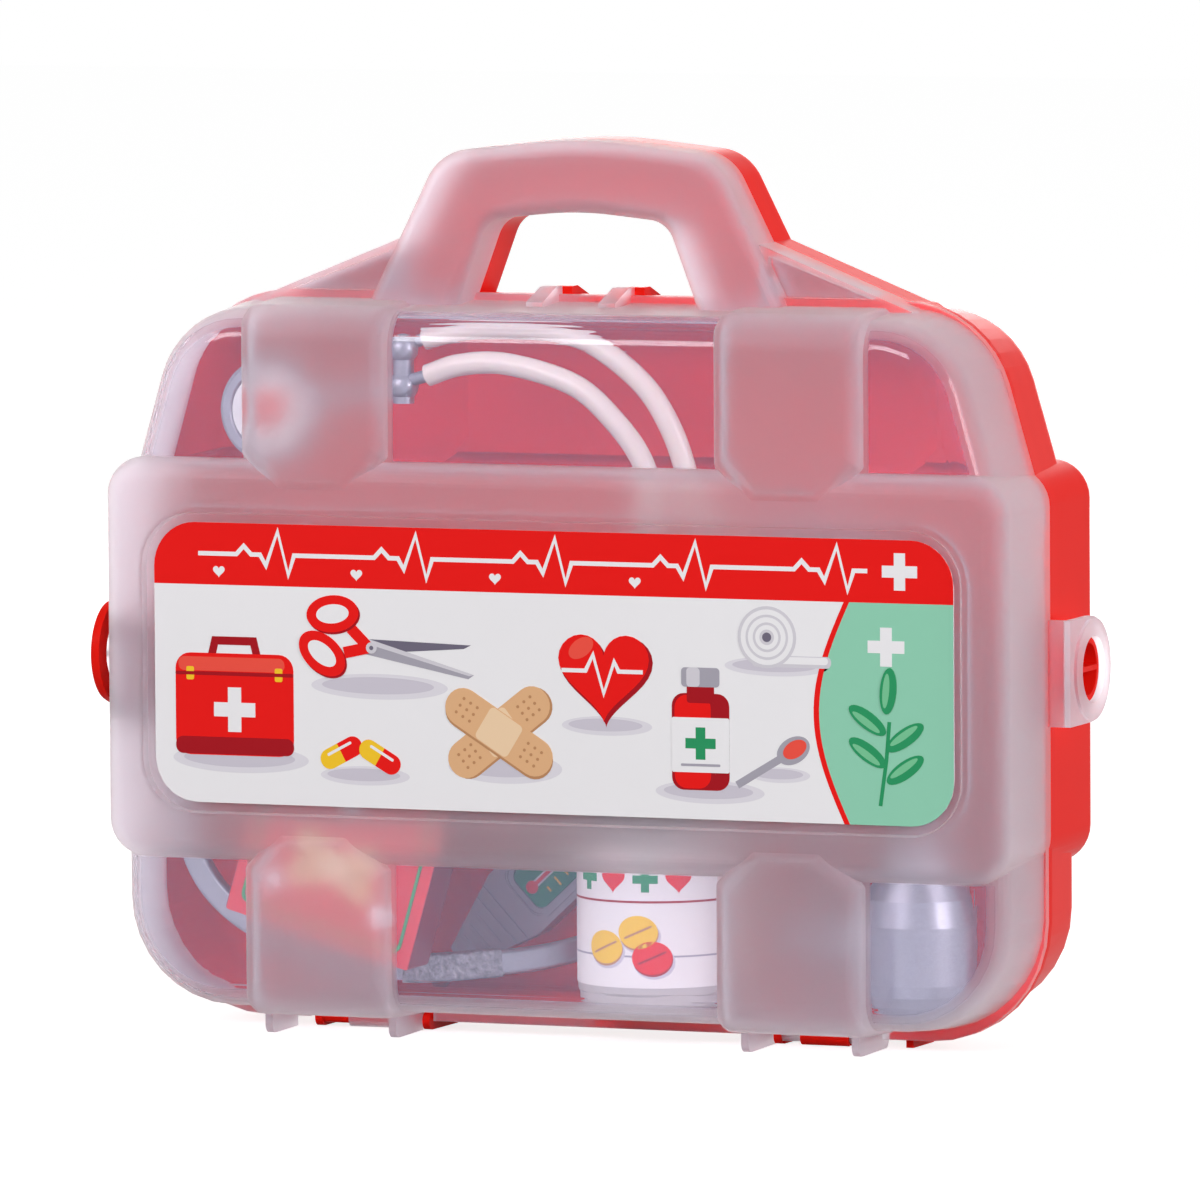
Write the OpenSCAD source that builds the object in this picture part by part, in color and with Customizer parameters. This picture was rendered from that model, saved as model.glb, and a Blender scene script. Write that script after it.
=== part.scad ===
// Toy doctor case: two identical moulded half shells on a snap hinge, a carrying handle split down the
// middle, a ring latch on each side, a printed front label, and the doctor's set inside.
// Millimetres, +Z up, the front half towards -Y, origin on the floor under the middle of the case.
// Every outline is drawn as seen from the front, X to the right and Z up.

/* [Case] */
// Width over the side walls
case_w = 298; // [280:1:320]
// Height of the flat top above the floor
case_h = 231; // [222:1:245]
// Height of the tub's underside above the floor
tub_z = 7; // [6.6:0.1:9]
// Depth of one half, from the parting plane to its windows
half_d = 37; // [36:0.5:44]
// Wall thickness of the mouldings
wall = 2; // [1.6:0.1:2.4]
// Radius of the bottom corners
corner_r = 36; // [30:1:42]
// Rounding between the side walls and the windows
edge_r = 11; // [8:0.5:12]
// How far the walls lean in over the depth, so that the half leaves its mould
draft = 2; // [1:0.1:2.5]
// Height where the sides start to lean in
lean_z = 166.6; // [150:1:176]
// How far each side leans in at the flat top
lean_in = 18.8; // [12:0.1:24]
// Radius of the upper corners
top_r = 32; // [24:1:36]

/* [Flange] */
// Thickness of the flange round the parting plane
flange_t = 3; // [2:0.1:4]
// Height of the flange's lower edge above the floor
lip_z = 3.3; // [3.2:0.1:4]
// How far the flange stands above the flat top
lip_top = 2; // [1:0.1:3]

/* [Band] */
// Height of the band's lower edge above the floor
band_z0 = 56.2; // [50:0.1:64]
// Height of the band's upper edge above the floor
band_z1 = 182.1; // [176:0.1:190]
// How far the band stands out from the windows
band_out = 6; // [5:0.1:8]
// How far the band stands out from the side walls
band_side = 1; // [0.5:0.1:2]
// Radius of the band's corners
band_r = 12; // [11:0.5:16]
// Rounding of the band's front edges
band_edge = 7; // [5:0.5:8]

/* [Straps] */
// Distance of each strap's centre from the middle of the case
strap_x = 78.8; // [72:0.1:84]
// Width of a strap
strap_w = 49.6; // [40:0.1:56]
// How far a strap stands out from the windows
strap_out = 7; // [6:0.1:9]
// Chamfer at a strap's end
strap_chamfer = 11.5; // [8:0.5:14]
// How far a strap runs over the band
strap_lap = 11; // [8:0.5:14]
// Rounding of a strap's front edges
strap_edge = 4; // [2:0.5:5]

/* [Label] */
// Width of the printed label
label_w = 266; // [250:1:272]
// Height of the printed label
label_h = 88; // [76:1:96]
// Radius of the label's corners
label_r = 14; // [8:1:20]
// Thickness of the label
label_t = 0.5; // [0.3:0.1:0.8]
// Gap between the label and the rim of its recess
label_gap = 2.8; // [1:0.1:4]
// Depth of the recess that the label lies in
recess_d = 3; // [2:0.1:3.4]

/* [Handle] */
// Width over the handle's feet
handle_w = 140; // [126:1:150]
// Height of the handle above the flat top
handle_h = 51; // [44:0.5:58]
// Width of the grip gap at its base
grip_w = 80; // [74:1:90]
// Height of the grip gap above the flat top
grip_h = 28.6; // [24:0.1:32]
// Depth of one half of the handle
handle_d = 19; // [15:0.5:22]
// Rounding of the handle's front edges
handle_edge = 5; // [3:0.5:7]
// How far up the handle the shoulder gussets reach
gusset_h = 19.4; // [14:0.1:24]
// How far the gussets reach out to the side
gusset_x = 111; // [100:1:114]
// Depth of a gusset
gusset_d = 14; // [10:0.5:18]
// Width of the rim round a gusset's recess
gusset_rim = 3; // [2:0.1:4]

/* [Hinge and feet] */
// Height of the hinge axis above the floor
axis_z = 3; // [3:0.05:3.2]
// Radius of the hinge rod
rod_r = 1.75; // [1.5:0.05:1.9]
// Radial clearance between rod and clip
rod_gap = 0.05; // [0.03:0.01:0.1]
// Outer radius of the clip and the fin ends round the axis
knuckle_r = 2.8; // [2.6:0.05:2.9]
// Width of the clip
clip_w = 16; // [10:1:18]
// Width of the clip's mouth
mouth_w = 2.2; // [1.6:0.1:2.6]
// Thickness of the foot fins
fin_t = 2.4; // [2:0.1:2.5]
// How far the fins' toes stand forward of the parting plane
fin_y = 24; // [20:0.5:28]
// Place of the inner fin that carries the rod
fin_in = 57.7; // [56:0.1:57.7]
// Place of the outer fin that carries the rod
fin_out = 94.3; // [93:0.1:96]
// Place of the fin with the eye
fin_eye = 60.4; // [60.4:0.1:62]
// Place of the plain foot fin
fin_foot = 102.3; // [101:0.1:105]

/* [Latches] */
// Height of the latches' middle above the floor
latch_z = 118.7; // [110:0.1:128]
// Distance of the ring's middle from the parting plane
latch_y = 17; // [17:0.1:20]
// Outer radius of the ring, and half the width of the strap that carries it
ring_r = 16.5; // [15:0.1:18]
// Radius of the hole in the ring
ring_hole = 10.4; // [9:0.1:11.5]
// Thickness of the latch strap
latch_t = 2; // [1.6:0.1:2.4]
// How far the ring stands out from the strap
ring_out = 1; // [0.5:0.1:2]
// Gap between the side wall of the band and the latch strap
latch_stand = 5.3; // [4.5:0.1:6.5]
// How far the stud reaches into the ring
stud_in = 1; // [0.5:0.1:1.6]
// Radial clearance between the stud and the ring
stud_gap = 0.3; // [0.2:0.05:0.5]
// Clearance of pieces that move past each other
clear = 0.3; // [0.2:0.05:0.4]

/* [Jar] */
// Place of the jar across the case
jar_x = 20; // [16:1:24]
// Radius of the jar
jar_r = 25; // [22:0.5:26]
// Height of the jar without its lid
jar_h = 68; // [56:1:76]
// Wall thickness of the jar
jar_wall = 1.8; // [1.4:0.1:2.4]
// Height of the lid
jar_lid_h = 14; // [10:1:18]

/* [Stethoscope] */
// Radius of the chestpiece
chest_r = 16.5; // [14:0.5:18]
// Thickness of the chestpiece
chest_t = 11; // [8:0.5:14]
// Diameter of the tubes
tube_d = 7; // [5:0.5:7.5]
// Width of the headset's spring band
arm_w = 8; // [6:0.5:9]
// Thickness of the headset's spring band
arm_t = 5; // [4:0.5:6]
// Radius of the ear tips
tip_r = 6.5; // [5:0.5:8]

/* [Syringe] */
// Outer radius of the barrel
barrel_r = 11; // [9:0.5:11.5]
// Length of the barrel
barrel_h = 76; // [66:1:84]
// Wall thickness of the barrel
barrel_wall = 1.4; // [1.2:0.1:2]
// Width over the finger wings
wing_w = 42; // [34:1:46]
// How far the plunger is drawn out of the barrel's floor
drawn = 36; // [32:1:40]
// Length of the plunger's rod
plunger_h = 71; // [66:1:76]

/* [Hammer] */
// Radius of the hammer's handle
grip_r = 6; // [5:0.5:7]
// Length of the handle below the head
grip_len = 128; // [110:1:132]
// Radius of the hammer's head
head_r = 12; // [10:0.5:13]
// Length of the head
head_len = 44; // [36:1:46]

/* [Otoscope] */
// Radius of the otoscope's head, which it stands on
scope_r = 18; // [15:0.5:18]
// Height of the head
scope_head_h = 52; // [46:1:58]
// Radius of the handle
scope_grip_r = 9.5; // [8:0.5:11]
// Length of the handle
scope_len = 76; // [66:1:84]
// Length of the ear cone
cone_len = 25; // [20:1:27]

/* [Thermometer] */
// Width of the thermometer's body
thermo_w = 25; // [20:0.5:28]
// Length of the body, without its tip
thermo_len = 84; // [70:1:84]
// Length of the taper towards the tip
taper_len = 26; // [20:0.5:32]
// Thickness of the body
thermo_t = 10; // [8:0.5:11]
// Length of the tip
tip_len = 14.3; // [13:0.1:14.4]

/* [Plaster box] */
// Width of the plaster box
box_w = 64; // [52:1:64]
// Height of the plaster box
box_h = 80; // [64:1:84]
// Thickness of the plaster box
box_t = 16.8; // [10:0.2:16.8]
// How far the box leans to the left, in degrees
box_lean = 16; // [14:0.5:18]

/* [Hidden] */
$fn = 48;
eps = 0.01;
steps = 5;                                   // facets round each quarter of a rounding
floor_z = tub_z + wall;                      // inside of the tub's floor at the parting plane
side_x = case_w / 2;                         // outside of the side walls
rim_d = half_d - edge_r;                     // where the front rounding starts
strap_z0 = band_z1 - strap_lap;              // end of the upper straps, over the band
strap_z1 = band_z0 + strap_lap;              // end of the lower straps
strap_foot = lip_z + 3.2;                    // underside of the lower straps
label_z = (band_z0 + band_z1 - 1.9) / 2;     // middle of the label
label_y = -(half_d + band_out - recess_d);   // floor of the label's recess
handle_z = case_h + handle_h;                // top of the handle
fin_root = tub_z + wall / 2;                 // fins end inside the tub's floor
notch_z = axis_z + knuckle_r + clear * 2;    // the flange is cut away round the hinge up to here
latch_x = side_x + band_side + latch_stand;  // inner face of a latch strap
latch_pin = [latch_x + latch_t / 2, -latch_t / 2];  // axis of the right latch, seen from above
stud_r = ring_hole - stud_gap;               // outside of the stud
stud_end = latch_x + stud_in;                // the stud reaches into the ring

// ---- shapes that the pieces share ----

function unit(v) = v / norm(v);
function left_of(v) = [-v[1], v[0]];
function turned(v, a) = [v[0] * cos(a) - v[1] * sin(a), v[0] * sin(a) + v[1] * cos(a)];
function mirrored(right) = concat(right,
    [for (i = [len(right) - 1:-1:0]) [-right[i][0], right[i][1], right[i][2]]]);

// Outline of a convex shape: corners are [x, z, radius] anticlockwise, and inset moves every wall in.
function rounded(corners, inset = 0, steps = steps) = let (n = len(corners)) [
    for (i = [0:n - 1]) let (
        before = corners[(i + n - 1) % n], here = corners[i], after = corners[(i + 1) % n],
        p = [here[0], here[1]],
        u1 = unit(p - [before[0], before[1]]), u2 = unit([after[0], after[1]] - p),
        n1 = left_of(u1), n2 = left_of(u2),
        centre = p + (n1 + n2) * here[2] / (1 + n1 * n2),
        turn = acos(max(-1, min(1, u1 * u2))))
    for (k = [0:steps]) centre - (here[2] - inset) * turned(n1, turn * k / steps)];

function box_corners(x0, x1, z0, z1, r) = [[x0, z0, r], [x1, z0, r], [x1, z1, r], [x0, z1, r]];

// Solid through a list of [y, outline], from the parting plane forwards.
module loft(sections) {
    n = len(sections[0][1]);
    m = len(sections);
    polyhedron(
        points = [for (s = sections) for (p = s[1]) [p[0], s[0], p[1]]],
        faces = concat(
            [[for (i = [0:n - 1]) i]],
            [for (j = [0:m - 2], i = [0:n - 1]) let (a = j * n + i, b = j * n + (i + 1) % n)
                each [[a, a + n, b + n], [a, b + n, b]]],
            [[for (i = [n - 1:-1:0]) (m - 1) * n + i]]));
}

// A tray's sections: straight wall with draft, then a rounding of edge at depth d. skin is the wall to leave.
function tray(corners, d, edge, lean, skin, y0 = 0) = concat(
    [[y0 + (skin > 0 ? 1 : 0), rounded(corners, skin)]],
    [for (k = [0:steps - 1]) let (a = 90 * k / (steps - 1))
        [-(d - edge) - (edge - skin) * sin(a),
            rounded(corners, lean + skin + (edge - skin) * (1 - cos(a)))]]);

// Flat outline drawn in X and Z, raised from y0 to y1.
module plate(y0, y1) translate([0, y1, 0]) rotate([90, 0, 0]) linear_extrude(y1 - y0) children();

// Flat outline drawn in Y and Z, raised by t either side of x.
module rib(x, t) translate([x - t / 2, 0, 0]) rotate([90, 0, 90]) linear_extrude(t) children();

// Smooth route through chosen points, n stretches between each pair.
function route(p, n = 4) = let (m = len(p)) concat(
    [for (i = [0:m - 2], k = [0:n - 1]) let (
        a = p[max(i - 1, 0)], b = p[i], c = p[i + 1], d = p[min(i + 2, m - 1)], t = k / n)
        0.5 * (2 * b + (c - a) * t + (2 * a - 5 * b + 4 * c - d) * t * t
            + (3 * b - a - 3 * c + d) * t * t * t)],
    [p[m - 1]]);

// Bar of w across by t deep along a route, with sides facets: the depth stays as near to Y as it can.
module sweep(p, w, t, sides = 8) {
    m = len(p);
    polyhedron(
        points = [for (i = [0:m - 1]) let (
            along = unit(p[min(i + 1, m - 1)] - p[max(i - 1, 0)]),
            deep = unit([0, 1, 0] - along[1] * along),
            across = cross(deep, along))
            for (k = [0:sides - 1]) p[i] + across * w / 2 * cos((k + 0.5) * 360 / sides) / cos(180 / sides)
                + deep * t / 2 * sin((k + 0.5) * 360 / sides) / cos(180 / sides)],
        faces = concat(
            [[for (k = [0:sides - 1]) k]],
            [for (i = [0:m - 2], k = [0:sides - 1]) let (a = i * sides + k, b = i * sides + (k + 1) % sides)
                each [[a, a + sides, b + sides], [a, b + sides, b]]],
            [[for (k = [sides - 1:-1:0]) (m - 1) * sides + k]]));
}

// ---- the half shell, used twice ----

tub_outline = mirrored([[side_x, tub_z, corner_r], [side_x, lean_z, 20], [side_x - lean_in, case_h, top_r]]);
band_outline = box_corners(-side_x - band_side, side_x + band_side, band_z0, band_z1, band_r);

// The hollow of a strap or its outside: level is how far its skin is set in.
module strap(top, skin) {
    w = strap_w / 2 - skin;
    d = half_d + strap_out;
    end = top ? strap_z0 + skin : strap_z1 - skin;          // the chamfered end, over the band
    far = top ? case_h + 0.6 - skin : strap_foot + skin;    // the end that wraps round the case
    up = top ? 1 : -1;
    c = strap_chamfer - skin / 2;
    function ring(inset, wrap) = let (
        x = w - inset, zf = far - up * wrap, ze = end + up * inset,
        p = [[-x + c, ze], [x - c, ze], [x, ze + up * c], [x, zf], [-x, zf], [-x, ze + up * c]])
        top ? p : [for (i = [5:-1:0]) p[i]];
    r = edge_r - skin;                                      // the wrap follows the tub's own rounding
    loft(concat([[-12, ring(0, 0)]], [for (k = [0:steps]) let (
        a = 90 * k / steps, y = (d - edge_r) + r * sin(a),
        side = max(0, y - (d - skin - strap_edge)))
        [-y, ring(draft / 2 + strap_edge - sqrt(max(0, strap_edge * strap_edge - side * side)),
            draft / 2 + r * (1 - cos(a)))]]));
}

module straps(skin) for (x = [-strap_x, strap_x], top = [true, false]) translate([x, 0, 0]) strap(top, skin);

// Rounded area round the label's place, grow larger all round.
module label_area(grow) polygon(rounded(box_corners(-label_w / 2 - grow, label_w / 2 + grow,
    label_z - label_h / 2 - grow, label_z + label_h / 2 + grow, label_r + grow)));

module moulded_tray() difference() {
    union() {
        loft(tray(tub_outline, half_d, edge_r, draft, 0));
        loft(tray(band_outline, half_d + band_out, band_edge, 0, 0));
        straps(0);
    }
    loft(tray(tub_outline, half_d, edge_r, draft, wall));
    difference() {
        loft(tray(band_outline, half_d + band_out, band_edge, 0, wall));
        plate(-half_d - band_out, label_y + wall) label_area(label_gap + wall);
    }
    straps(wall);
    plate(-half_d - band_out - 1, label_y) label_area(label_gap);
}

// The flange and the flat back of handle and shoulders, as one outline.
handle_outer = [[handle_w / 2, case_h - 1, eps], [46, handle_z - 4.4, 16], [0, handle_z + 0.6, 150]];
handle_inner = [[grip_w / 2, case_h - 1, eps], [30, case_h + grip_h - 2.8, 9],
    [0, case_h + grip_h + 0.3, 110]];

// Half outlines become arches: from the right foot over the crown to the left foot.
function arch(half) = let (full = concat(half, [for (i = [1:-1:0]) [-half[i][0], half[i][1], half[i][2]]]),
    points = rounded(full)) [for (i = [steps:len(points) - 1 - steps]) points[i]];

module gusset_area(inset) polygon([
    [gusset_x - inset * 4.6, case_h - (inset > 0 ? 0 : 1) + inset],
    [handle_w / 2 - 10 + inset, case_h + gusset_h - inset * 1.2],
    [handle_w / 2 - 10 + inset, case_h - (inset > 0 ? 0 : 1) + inset]]);

module both_sides() { children(); mirror([1, 0, 0]) children(); }

module flange() plate(-flange_t, 0) difference() {
    polygon(rounded(mirrored([[side_x + 0.3, lip_z, corner_r + 2], [side_x + 0.3, lean_z - 9, 20],
        [side_x - lean_in + 0.6, case_h + lip_top, top_r + 4]])));
    polygon(rounded(tub_outline, wall));
}

// Half of the handle, a channel open at the parting plane, swept along the arch.
module handle() {
    outer = arch(handle_outer);
    inner = arch(handle_inner);
    m = len(outer);
    r = handle_edge;
    function across(w, skin) = [for (s = [0:1], k = [0:4]) let (
        a = s == 0 ? k * 30 - 30 : 120 - k * 30, b = max(a, 0), q = (r - skin))
        s == 0 ? (k == 0 ? [skin, 0] : [skin + q * (1 - cos(b)), -(handle_d - r) - q * sin(b)])
               : (k == 4 ? [w - skin, 0] : [w - skin - q * (1 - cos(max(90 - k * 30, 0))),
                    -(handle_d - r) - q * sin(max(90 - k * 30, 0))])];
    n = 20;
    polyhedron(
        points = [for (i = [0:m - 1]) let (
            w = norm(inner[i] - outer[i]), e = (inner[i] - outer[i]) / w,
            ring = concat(across(w, 0), [for (j = [9:-1:0]) across(w, wall)[j]]))
            for (q = ring) [outer[i][0] + e[0] * q[0], q[1], outer[i][1] + e[1] * q[0]]],
        faces = concat(
            [for (j = [0:8]) each [[j, 18 - j, j + 1], [j, 19 - j, 18 - j]]],
            [for (i = [0:m - 2], j = [0:n - 1]) let (a = i * n + j, b = i * n + (j + 1) % n)
                each [[a, b + n, a + n], [a, b, b + n]]],
            [for (j = [0:8]) let (o = (m - 1) * n)
                each [[o + j, o + j + 1, o + 18 - j], [o + j, o + 18 - j, o + 19 - j]]]));
}

module gussets() both_sides() difference() {
    plate(-gusset_d, 0) gusset_area(0);
    plate(-gusset_d - 1, -gusset_d + gusset_rim) gusset_area(gusset_rim);
    plate(-gusset_d + gusset_rim + wall, 1) gusset_area(gusset_rim);
}

// Small ramps on the flat top that line the halves up inside the grip.
module top_lugs() for (x = [-13.7, 10.5]) rib(x, 5.5)
    polygon([[-17, case_h - 1], [-17, case_h + 0.4], [-5, case_h + 4.5], [0, case_h + 4.5], [0, case_h - 1]]);

// One foot fin, seen from the side: a rounded toe, and its end at the hinge.
module fin_profile(end) difference() {
    union() {
        polygon([[-fin_y, axis_z], [-fin_y + 3, 0], [end, axis_z - knuckle_r], [end, fin_root],
            [-fin_y, fin_root]]);
        translate([-fin_y + 3, 3]) circle(3);
        if (end == 0) translate([0, axis_z]) circle(knuckle_r);
    }
    children();
}

module rod_bore() {
    translate([0, axis_z]) circle(rod_r + rod_gap);
    translate([-mouth_w / 2, axis_z - knuckle_r - 1]) square([mouth_w, knuckle_r + 1]);
}

module feet_and_hinge() {
    rib(fin_in, fin_t) fin_profile(0);
    rib(fin_out, fin_t) fin_profile(0);
    rib(-fin_eye, fin_t) fin_profile(0) rod_bore();
    rib(-fin_foot, fin_t) fin_profile(-flange_t);
    // rod between its two fins
    translate([fin_in, 0, axis_z]) rotate([0, 90, 0]) cylinder(r = rod_r, h = fin_out - fin_in);
    // clip round the other half's rod
    rib(-(fin_in + fin_out) / 2, clip_w) difference() {
        union() {
            translate([0, axis_z]) circle(knuckle_r);
            translate([-knuckle_r, axis_z]) square([knuckle_r - clear, fin_root - axis_z]);
        }
        rod_bore();
    }
}

// Where the flange gives way to the other half's rod, fins and clip.
module hinge_notches() {
    translate([-fin_out - fin_t - clear, -flange_t - 1, lip_z - 1])
        cube([fin_out - fin_in + 2 * (fin_t + clear), flange_t + 2, notch_z - lip_z + 1]);
    translate([(fin_in + fin_out - clip_w) / 2 - clear * 2, -flange_t - 1, lip_z - 1])
        cube([clip_w + clear * 4, flange_t + 2, notch_z - lip_z + 1]);
    translate([fin_eye - fin_t / 2 - clear, -flange_t - 1, lip_z - 1])
        cube([fin_t + clear * 2, flange_t + 2, notch_z - lip_z + 1]);
}

// Shelf that carries this half's latch, and the hollow stud for the other half's latch.
module latch_seats() {
    translate([side_x - wall / 2, -latch_t, latch_z - ring_r])
        cube([latch_x - clear - side_x + wall / 2, latch_t, 2 * ring_r]);
    translate([-stud_end, -latch_y, latch_z]) rotate([0, 90, 0]) difference() {
        cylinder(r = stud_r, h = stud_end - side_x);
        difference() {
            translate([0, 0, -1]) cylinder(r = stud_r - 1.8, h = stud_end - side_x - band_side + 1);
            translate([-0.8, -stud_r, -2]) cube([1.6, 2 * stud_r, stud_end]);
        }
    }
}

module half_shell() {
    moulded_tray();
    difference() {
        flange();
        hinge_notches();
    }
    handle();
    gussets();
    top_lugs();
    feet_and_hinge();
    latch_seats();
}

// Latch strap with its ring: the round back edge is the living hinge.
module latch() difference() {
    union() {
        translate([latch_pin[0], latch_pin[1], latch_z - ring_r]) cylinder(r = latch_t / 2, h = 2 * ring_r);
        translate([latch_x, latch_pin[1], latch_z - ring_r])
            cube([latch_t, latch_y - latch_pin[1], 2 * ring_r]);
        at_ring(0) cylinder(r = ring_r, h = latch_t);
        at_ring(0) cylinder(r = ring_r - 0.6, h = latch_t + ring_out);
    }
    at_ring(-1) cylinder(r = ring_hole, h = latch_t + ring_out + 2);
}
module at_ring(x) translate([latch_x + x, latch_y, latch_z]) rotate([0, 90, 0]) children();

module front_shell() color([0.88, 0.80, 0.82, 0.6]) half_shell();
module rear_shell() color("#e83a2e") rotate([0, 0, 180]) half_shell();
module front_latch() color([0.88, 0.80, 0.82, 0.6]) latch();
module rear_latch() color("#e83a2e") rotate([0, 0, 180]) latch();
module front_label() color("white") plate(label_y - label_t, label_y) label_area(0);

// ---- jar of capsules ----

jar_foot = jar_r - 2.4;
jar_z = floor_z + draft * jar_foot / rim_d + clear;
jar_neck = 12;                               // height of the neck that the lid covers
flutes = 36;
module at_jar() translate([jar_x, 0, jar_z]) children();

module jar_body() color("#ece9e6") at_jar() rotate_extrude() difference() {
    polygon([[0, 0], [jar_foot, 0], [jar_r - 0.6, 2], [jar_r - 0.6, 5], [jar_r, 5.6],
        [jar_r, jar_h - jar_neck - 4], [jar_r - 2, jar_h - jar_neck - 1], [jar_r - 2, jar_h], [0, jar_h]]);
    translate([-1, jar_wall]) square([jar_r - jar_wall - 1, jar_h]);
}
module jar_lid() color("#9b9791") at_jar() translate([0, 0, jar_h - jar_neck]) difference() {
    rotate_extrude() difference() {
        polygon([[0, 0], [jar_r, 0], [jar_r + 0.6, 1], [jar_r + 0.6, jar_lid_h - 2], [jar_r - 1, jar_lid_h],
            [0, jar_lid_h]]);
        translate([-1, -1]) square([jar_r - 2 + clear + 1, jar_lid_h - wall + 1]);
    }
    for (k = [0:flutes - 1]) rotate(k * 360 / flutes) translate([jar_r + 1, 0, 1.8])
        cylinder(r = 0.9, h = jar_lid_h - 4.6, $fn = 12);
}
module jar_label() color("#f3ece6") at_jar() translate([0, 0, 8]) rotate_extrude()
    translate([jar_r, 0]) square([0.3, jar_h - jar_neck - 14]);

// ---- stethoscope: chestpiece, two soft tubes, and a sprung headset with a tube on each arm ----

chest = [-99.8, -26, 196.5];                 // middle of the chestpiece's front face
yoke = [-58, -16];                           // the connector bar, seen from above
yoke_a = 205.5;                              // height of the lower tube's spigot
yoke_b = 217;                                // height of the upper tube's spigot
spigot = 2;
tube_a = [[-49, -18, 208], [-38, -18, 211.5], [-22, -18, 212], [0, -18, 206], [14, -18, 194.5],
    [23, -18, 182], [26, -18, 168], [22, -16, 154], [8, -13, 143], [-12, -10, 137], [-40, -8, 136],
    [-66, -8, 138], [-96, -8, 140], [-114, -6.6, 137], [-126, -5.6, 130], [-131, -4.8, 120],
    [-131, -5, 112]];
tube_b = [[-52, -13, 219], [-40, -12, 222], [-24, -12, 223], [-8, -12, 222], [5, -12, 218],
    [21, -12, 206], [30.5, -12, 191.5], [36, -10, 174], [42, -2, 152], [48, 12, 128], [50, 24, 110],
    [46, 30, 99]];
band_line = [[-119, -12, 116], [-127, -12, 112], [-133, -12, 101], [-135, -12, 84], [-134, -13, 64],
    [-126, -14, 46], [-110, -14, 33], [-86, -14, 24], [-61, -12, 21], [-38, -2, 22], [-20, 9, 24],
    [-4, 20, 29], [16, 31, 37], [31, 32, 50], [37.5, 32, 64], [39, 32, 80], [39, 32, 96], [35, 32, 110],
    [26, 32, 118], [15, 31, 121]];
pad_from = 8;                                // points of the band's line between which the textured pad lies
pad_to = 9;
band_steps = 4;

module rod_between(from, to, r) {
    along = to - from;
    translate(from) rotate([0, acos(along[2] / norm(along)), atan2(along[1], along[0])])
        cylinder(r = r, h = norm(along));
}

module chestpiece() color("#a9a8ae") {
    translate(chest) rotate([-90, 0, 0]) rotate_extrude() polygon([[0, 1.5], [chest_r - 4, 1.5],
        [chest_r - 4, 0.5], [chest_r - 3.5, 0], [chest_r - 1.2, 0], [chest_r, 1.2], [chest_r, 5],
        [chest_r - 1.5, 6.5], [chest_r - 5, chest_t - 2], [chest_r - 6.5, chest_t], [0, chest_t]]);
    rod_between([chest[0] + chest_r - 3, yoke[1] - 4, yoke_a - 5.5], [yoke[0], yoke[1], yoke_a - 2.5], 2.6);
    translate([yoke[0], yoke[1], yoke_a - 6.5]) cylinder(r = 3.4, h = yoke_b - yoke_a + 9.5);
    for (z = [yoke_a - 1, yoke_b - 1]) translate([yoke[0], yoke[1], z]) sphere(r = 4.8);
    rod_between([yoke[0], yoke[1], yoke_a], tube_a[0] - [0.3, 0, 0.1], spigot);
    rod_between([yoke[0], yoke[1], yoke_b], tube_b[0] - [0.3, 0.1, 0.1], spigot);
}
module chestpiece_diaphragm() color("#dcd9d6") translate(chest + [0, 0.3, 0]) rotate([-90, 0, 0])
    cylinder(r = chest_r - 4 - clear, h = 1.2);
module chestpiece_heart() color("#e2231f") translate([chest[0], chest[1] - 0.9, chest[2] - 1]) plate(0, 1.2)
    intersection() {
        union() {
            rotate(45) square(9, center = true);
            for (s = [-1, 1]) translate([s * 3.18, 3.18]) circle(4.5);
        }
        square(24, center = true);
    }
module tube_left() color("#e9e0d3") sweep(route(tube_a), tube_d, tube_d);
module tube_right() color("#e9e0d3") sweep(route(tube_b), tube_d, tube_d);

function stretch(p, from, to) = [for (i = [from:to]) p[i]];
function past(p, i, j, far) = p[i] + unit(p[i] - p[j]) * far;

module headset_frame() color("#b5b3b8") {
    sweep(route(band_line, band_steps), arm_w, arm_t);
    sweep(stretch(route(band_line, band_steps), pad_from * band_steps, pad_to * band_steps + 1),
        arm_w + 1, arm_t + 1);
    rod_between([-131.5, -11.5, 103], [-130.9, -5, 106.5], spigot);
    rod_between([-130.9, -5, 106], past(tube_a, len(tube_a) - 1, len(tube_a) - 2, 0.3), spigot);
    rod_between([40, 32, 87], past(tube_b, len(tube_b) - 1, len(tube_b) - 2, 0.3), spigot);
}
module ear_tips() color("#8f8e94") let (m = len(band_line))
    for (end = [[0, 1], [m - 1, m - 2]])
        translate(past(band_line, end[0], end[1], tip_r + clear)) sphere(r = tip_r);

// ---- syringe, standing on its nozzle in the rear half ----

syringe = [-90, 23];
nozzle_z = strap_foot + wall + draft / 2 + clear;
nozzle_r = 3;
shoulder_z = nozzle_z + 12;
barrel_floor = shoulder_z + barrel_wall;
barrel_top = shoulder_z + barrel_h;
wing_t = 2.5;
seal_h = 6;
seal_r = barrel_r - barrel_wall - clear;
thumb_r = 11;
module at_syringe(z) translate([syringe[0], syringe[1], z]) children();

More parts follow.
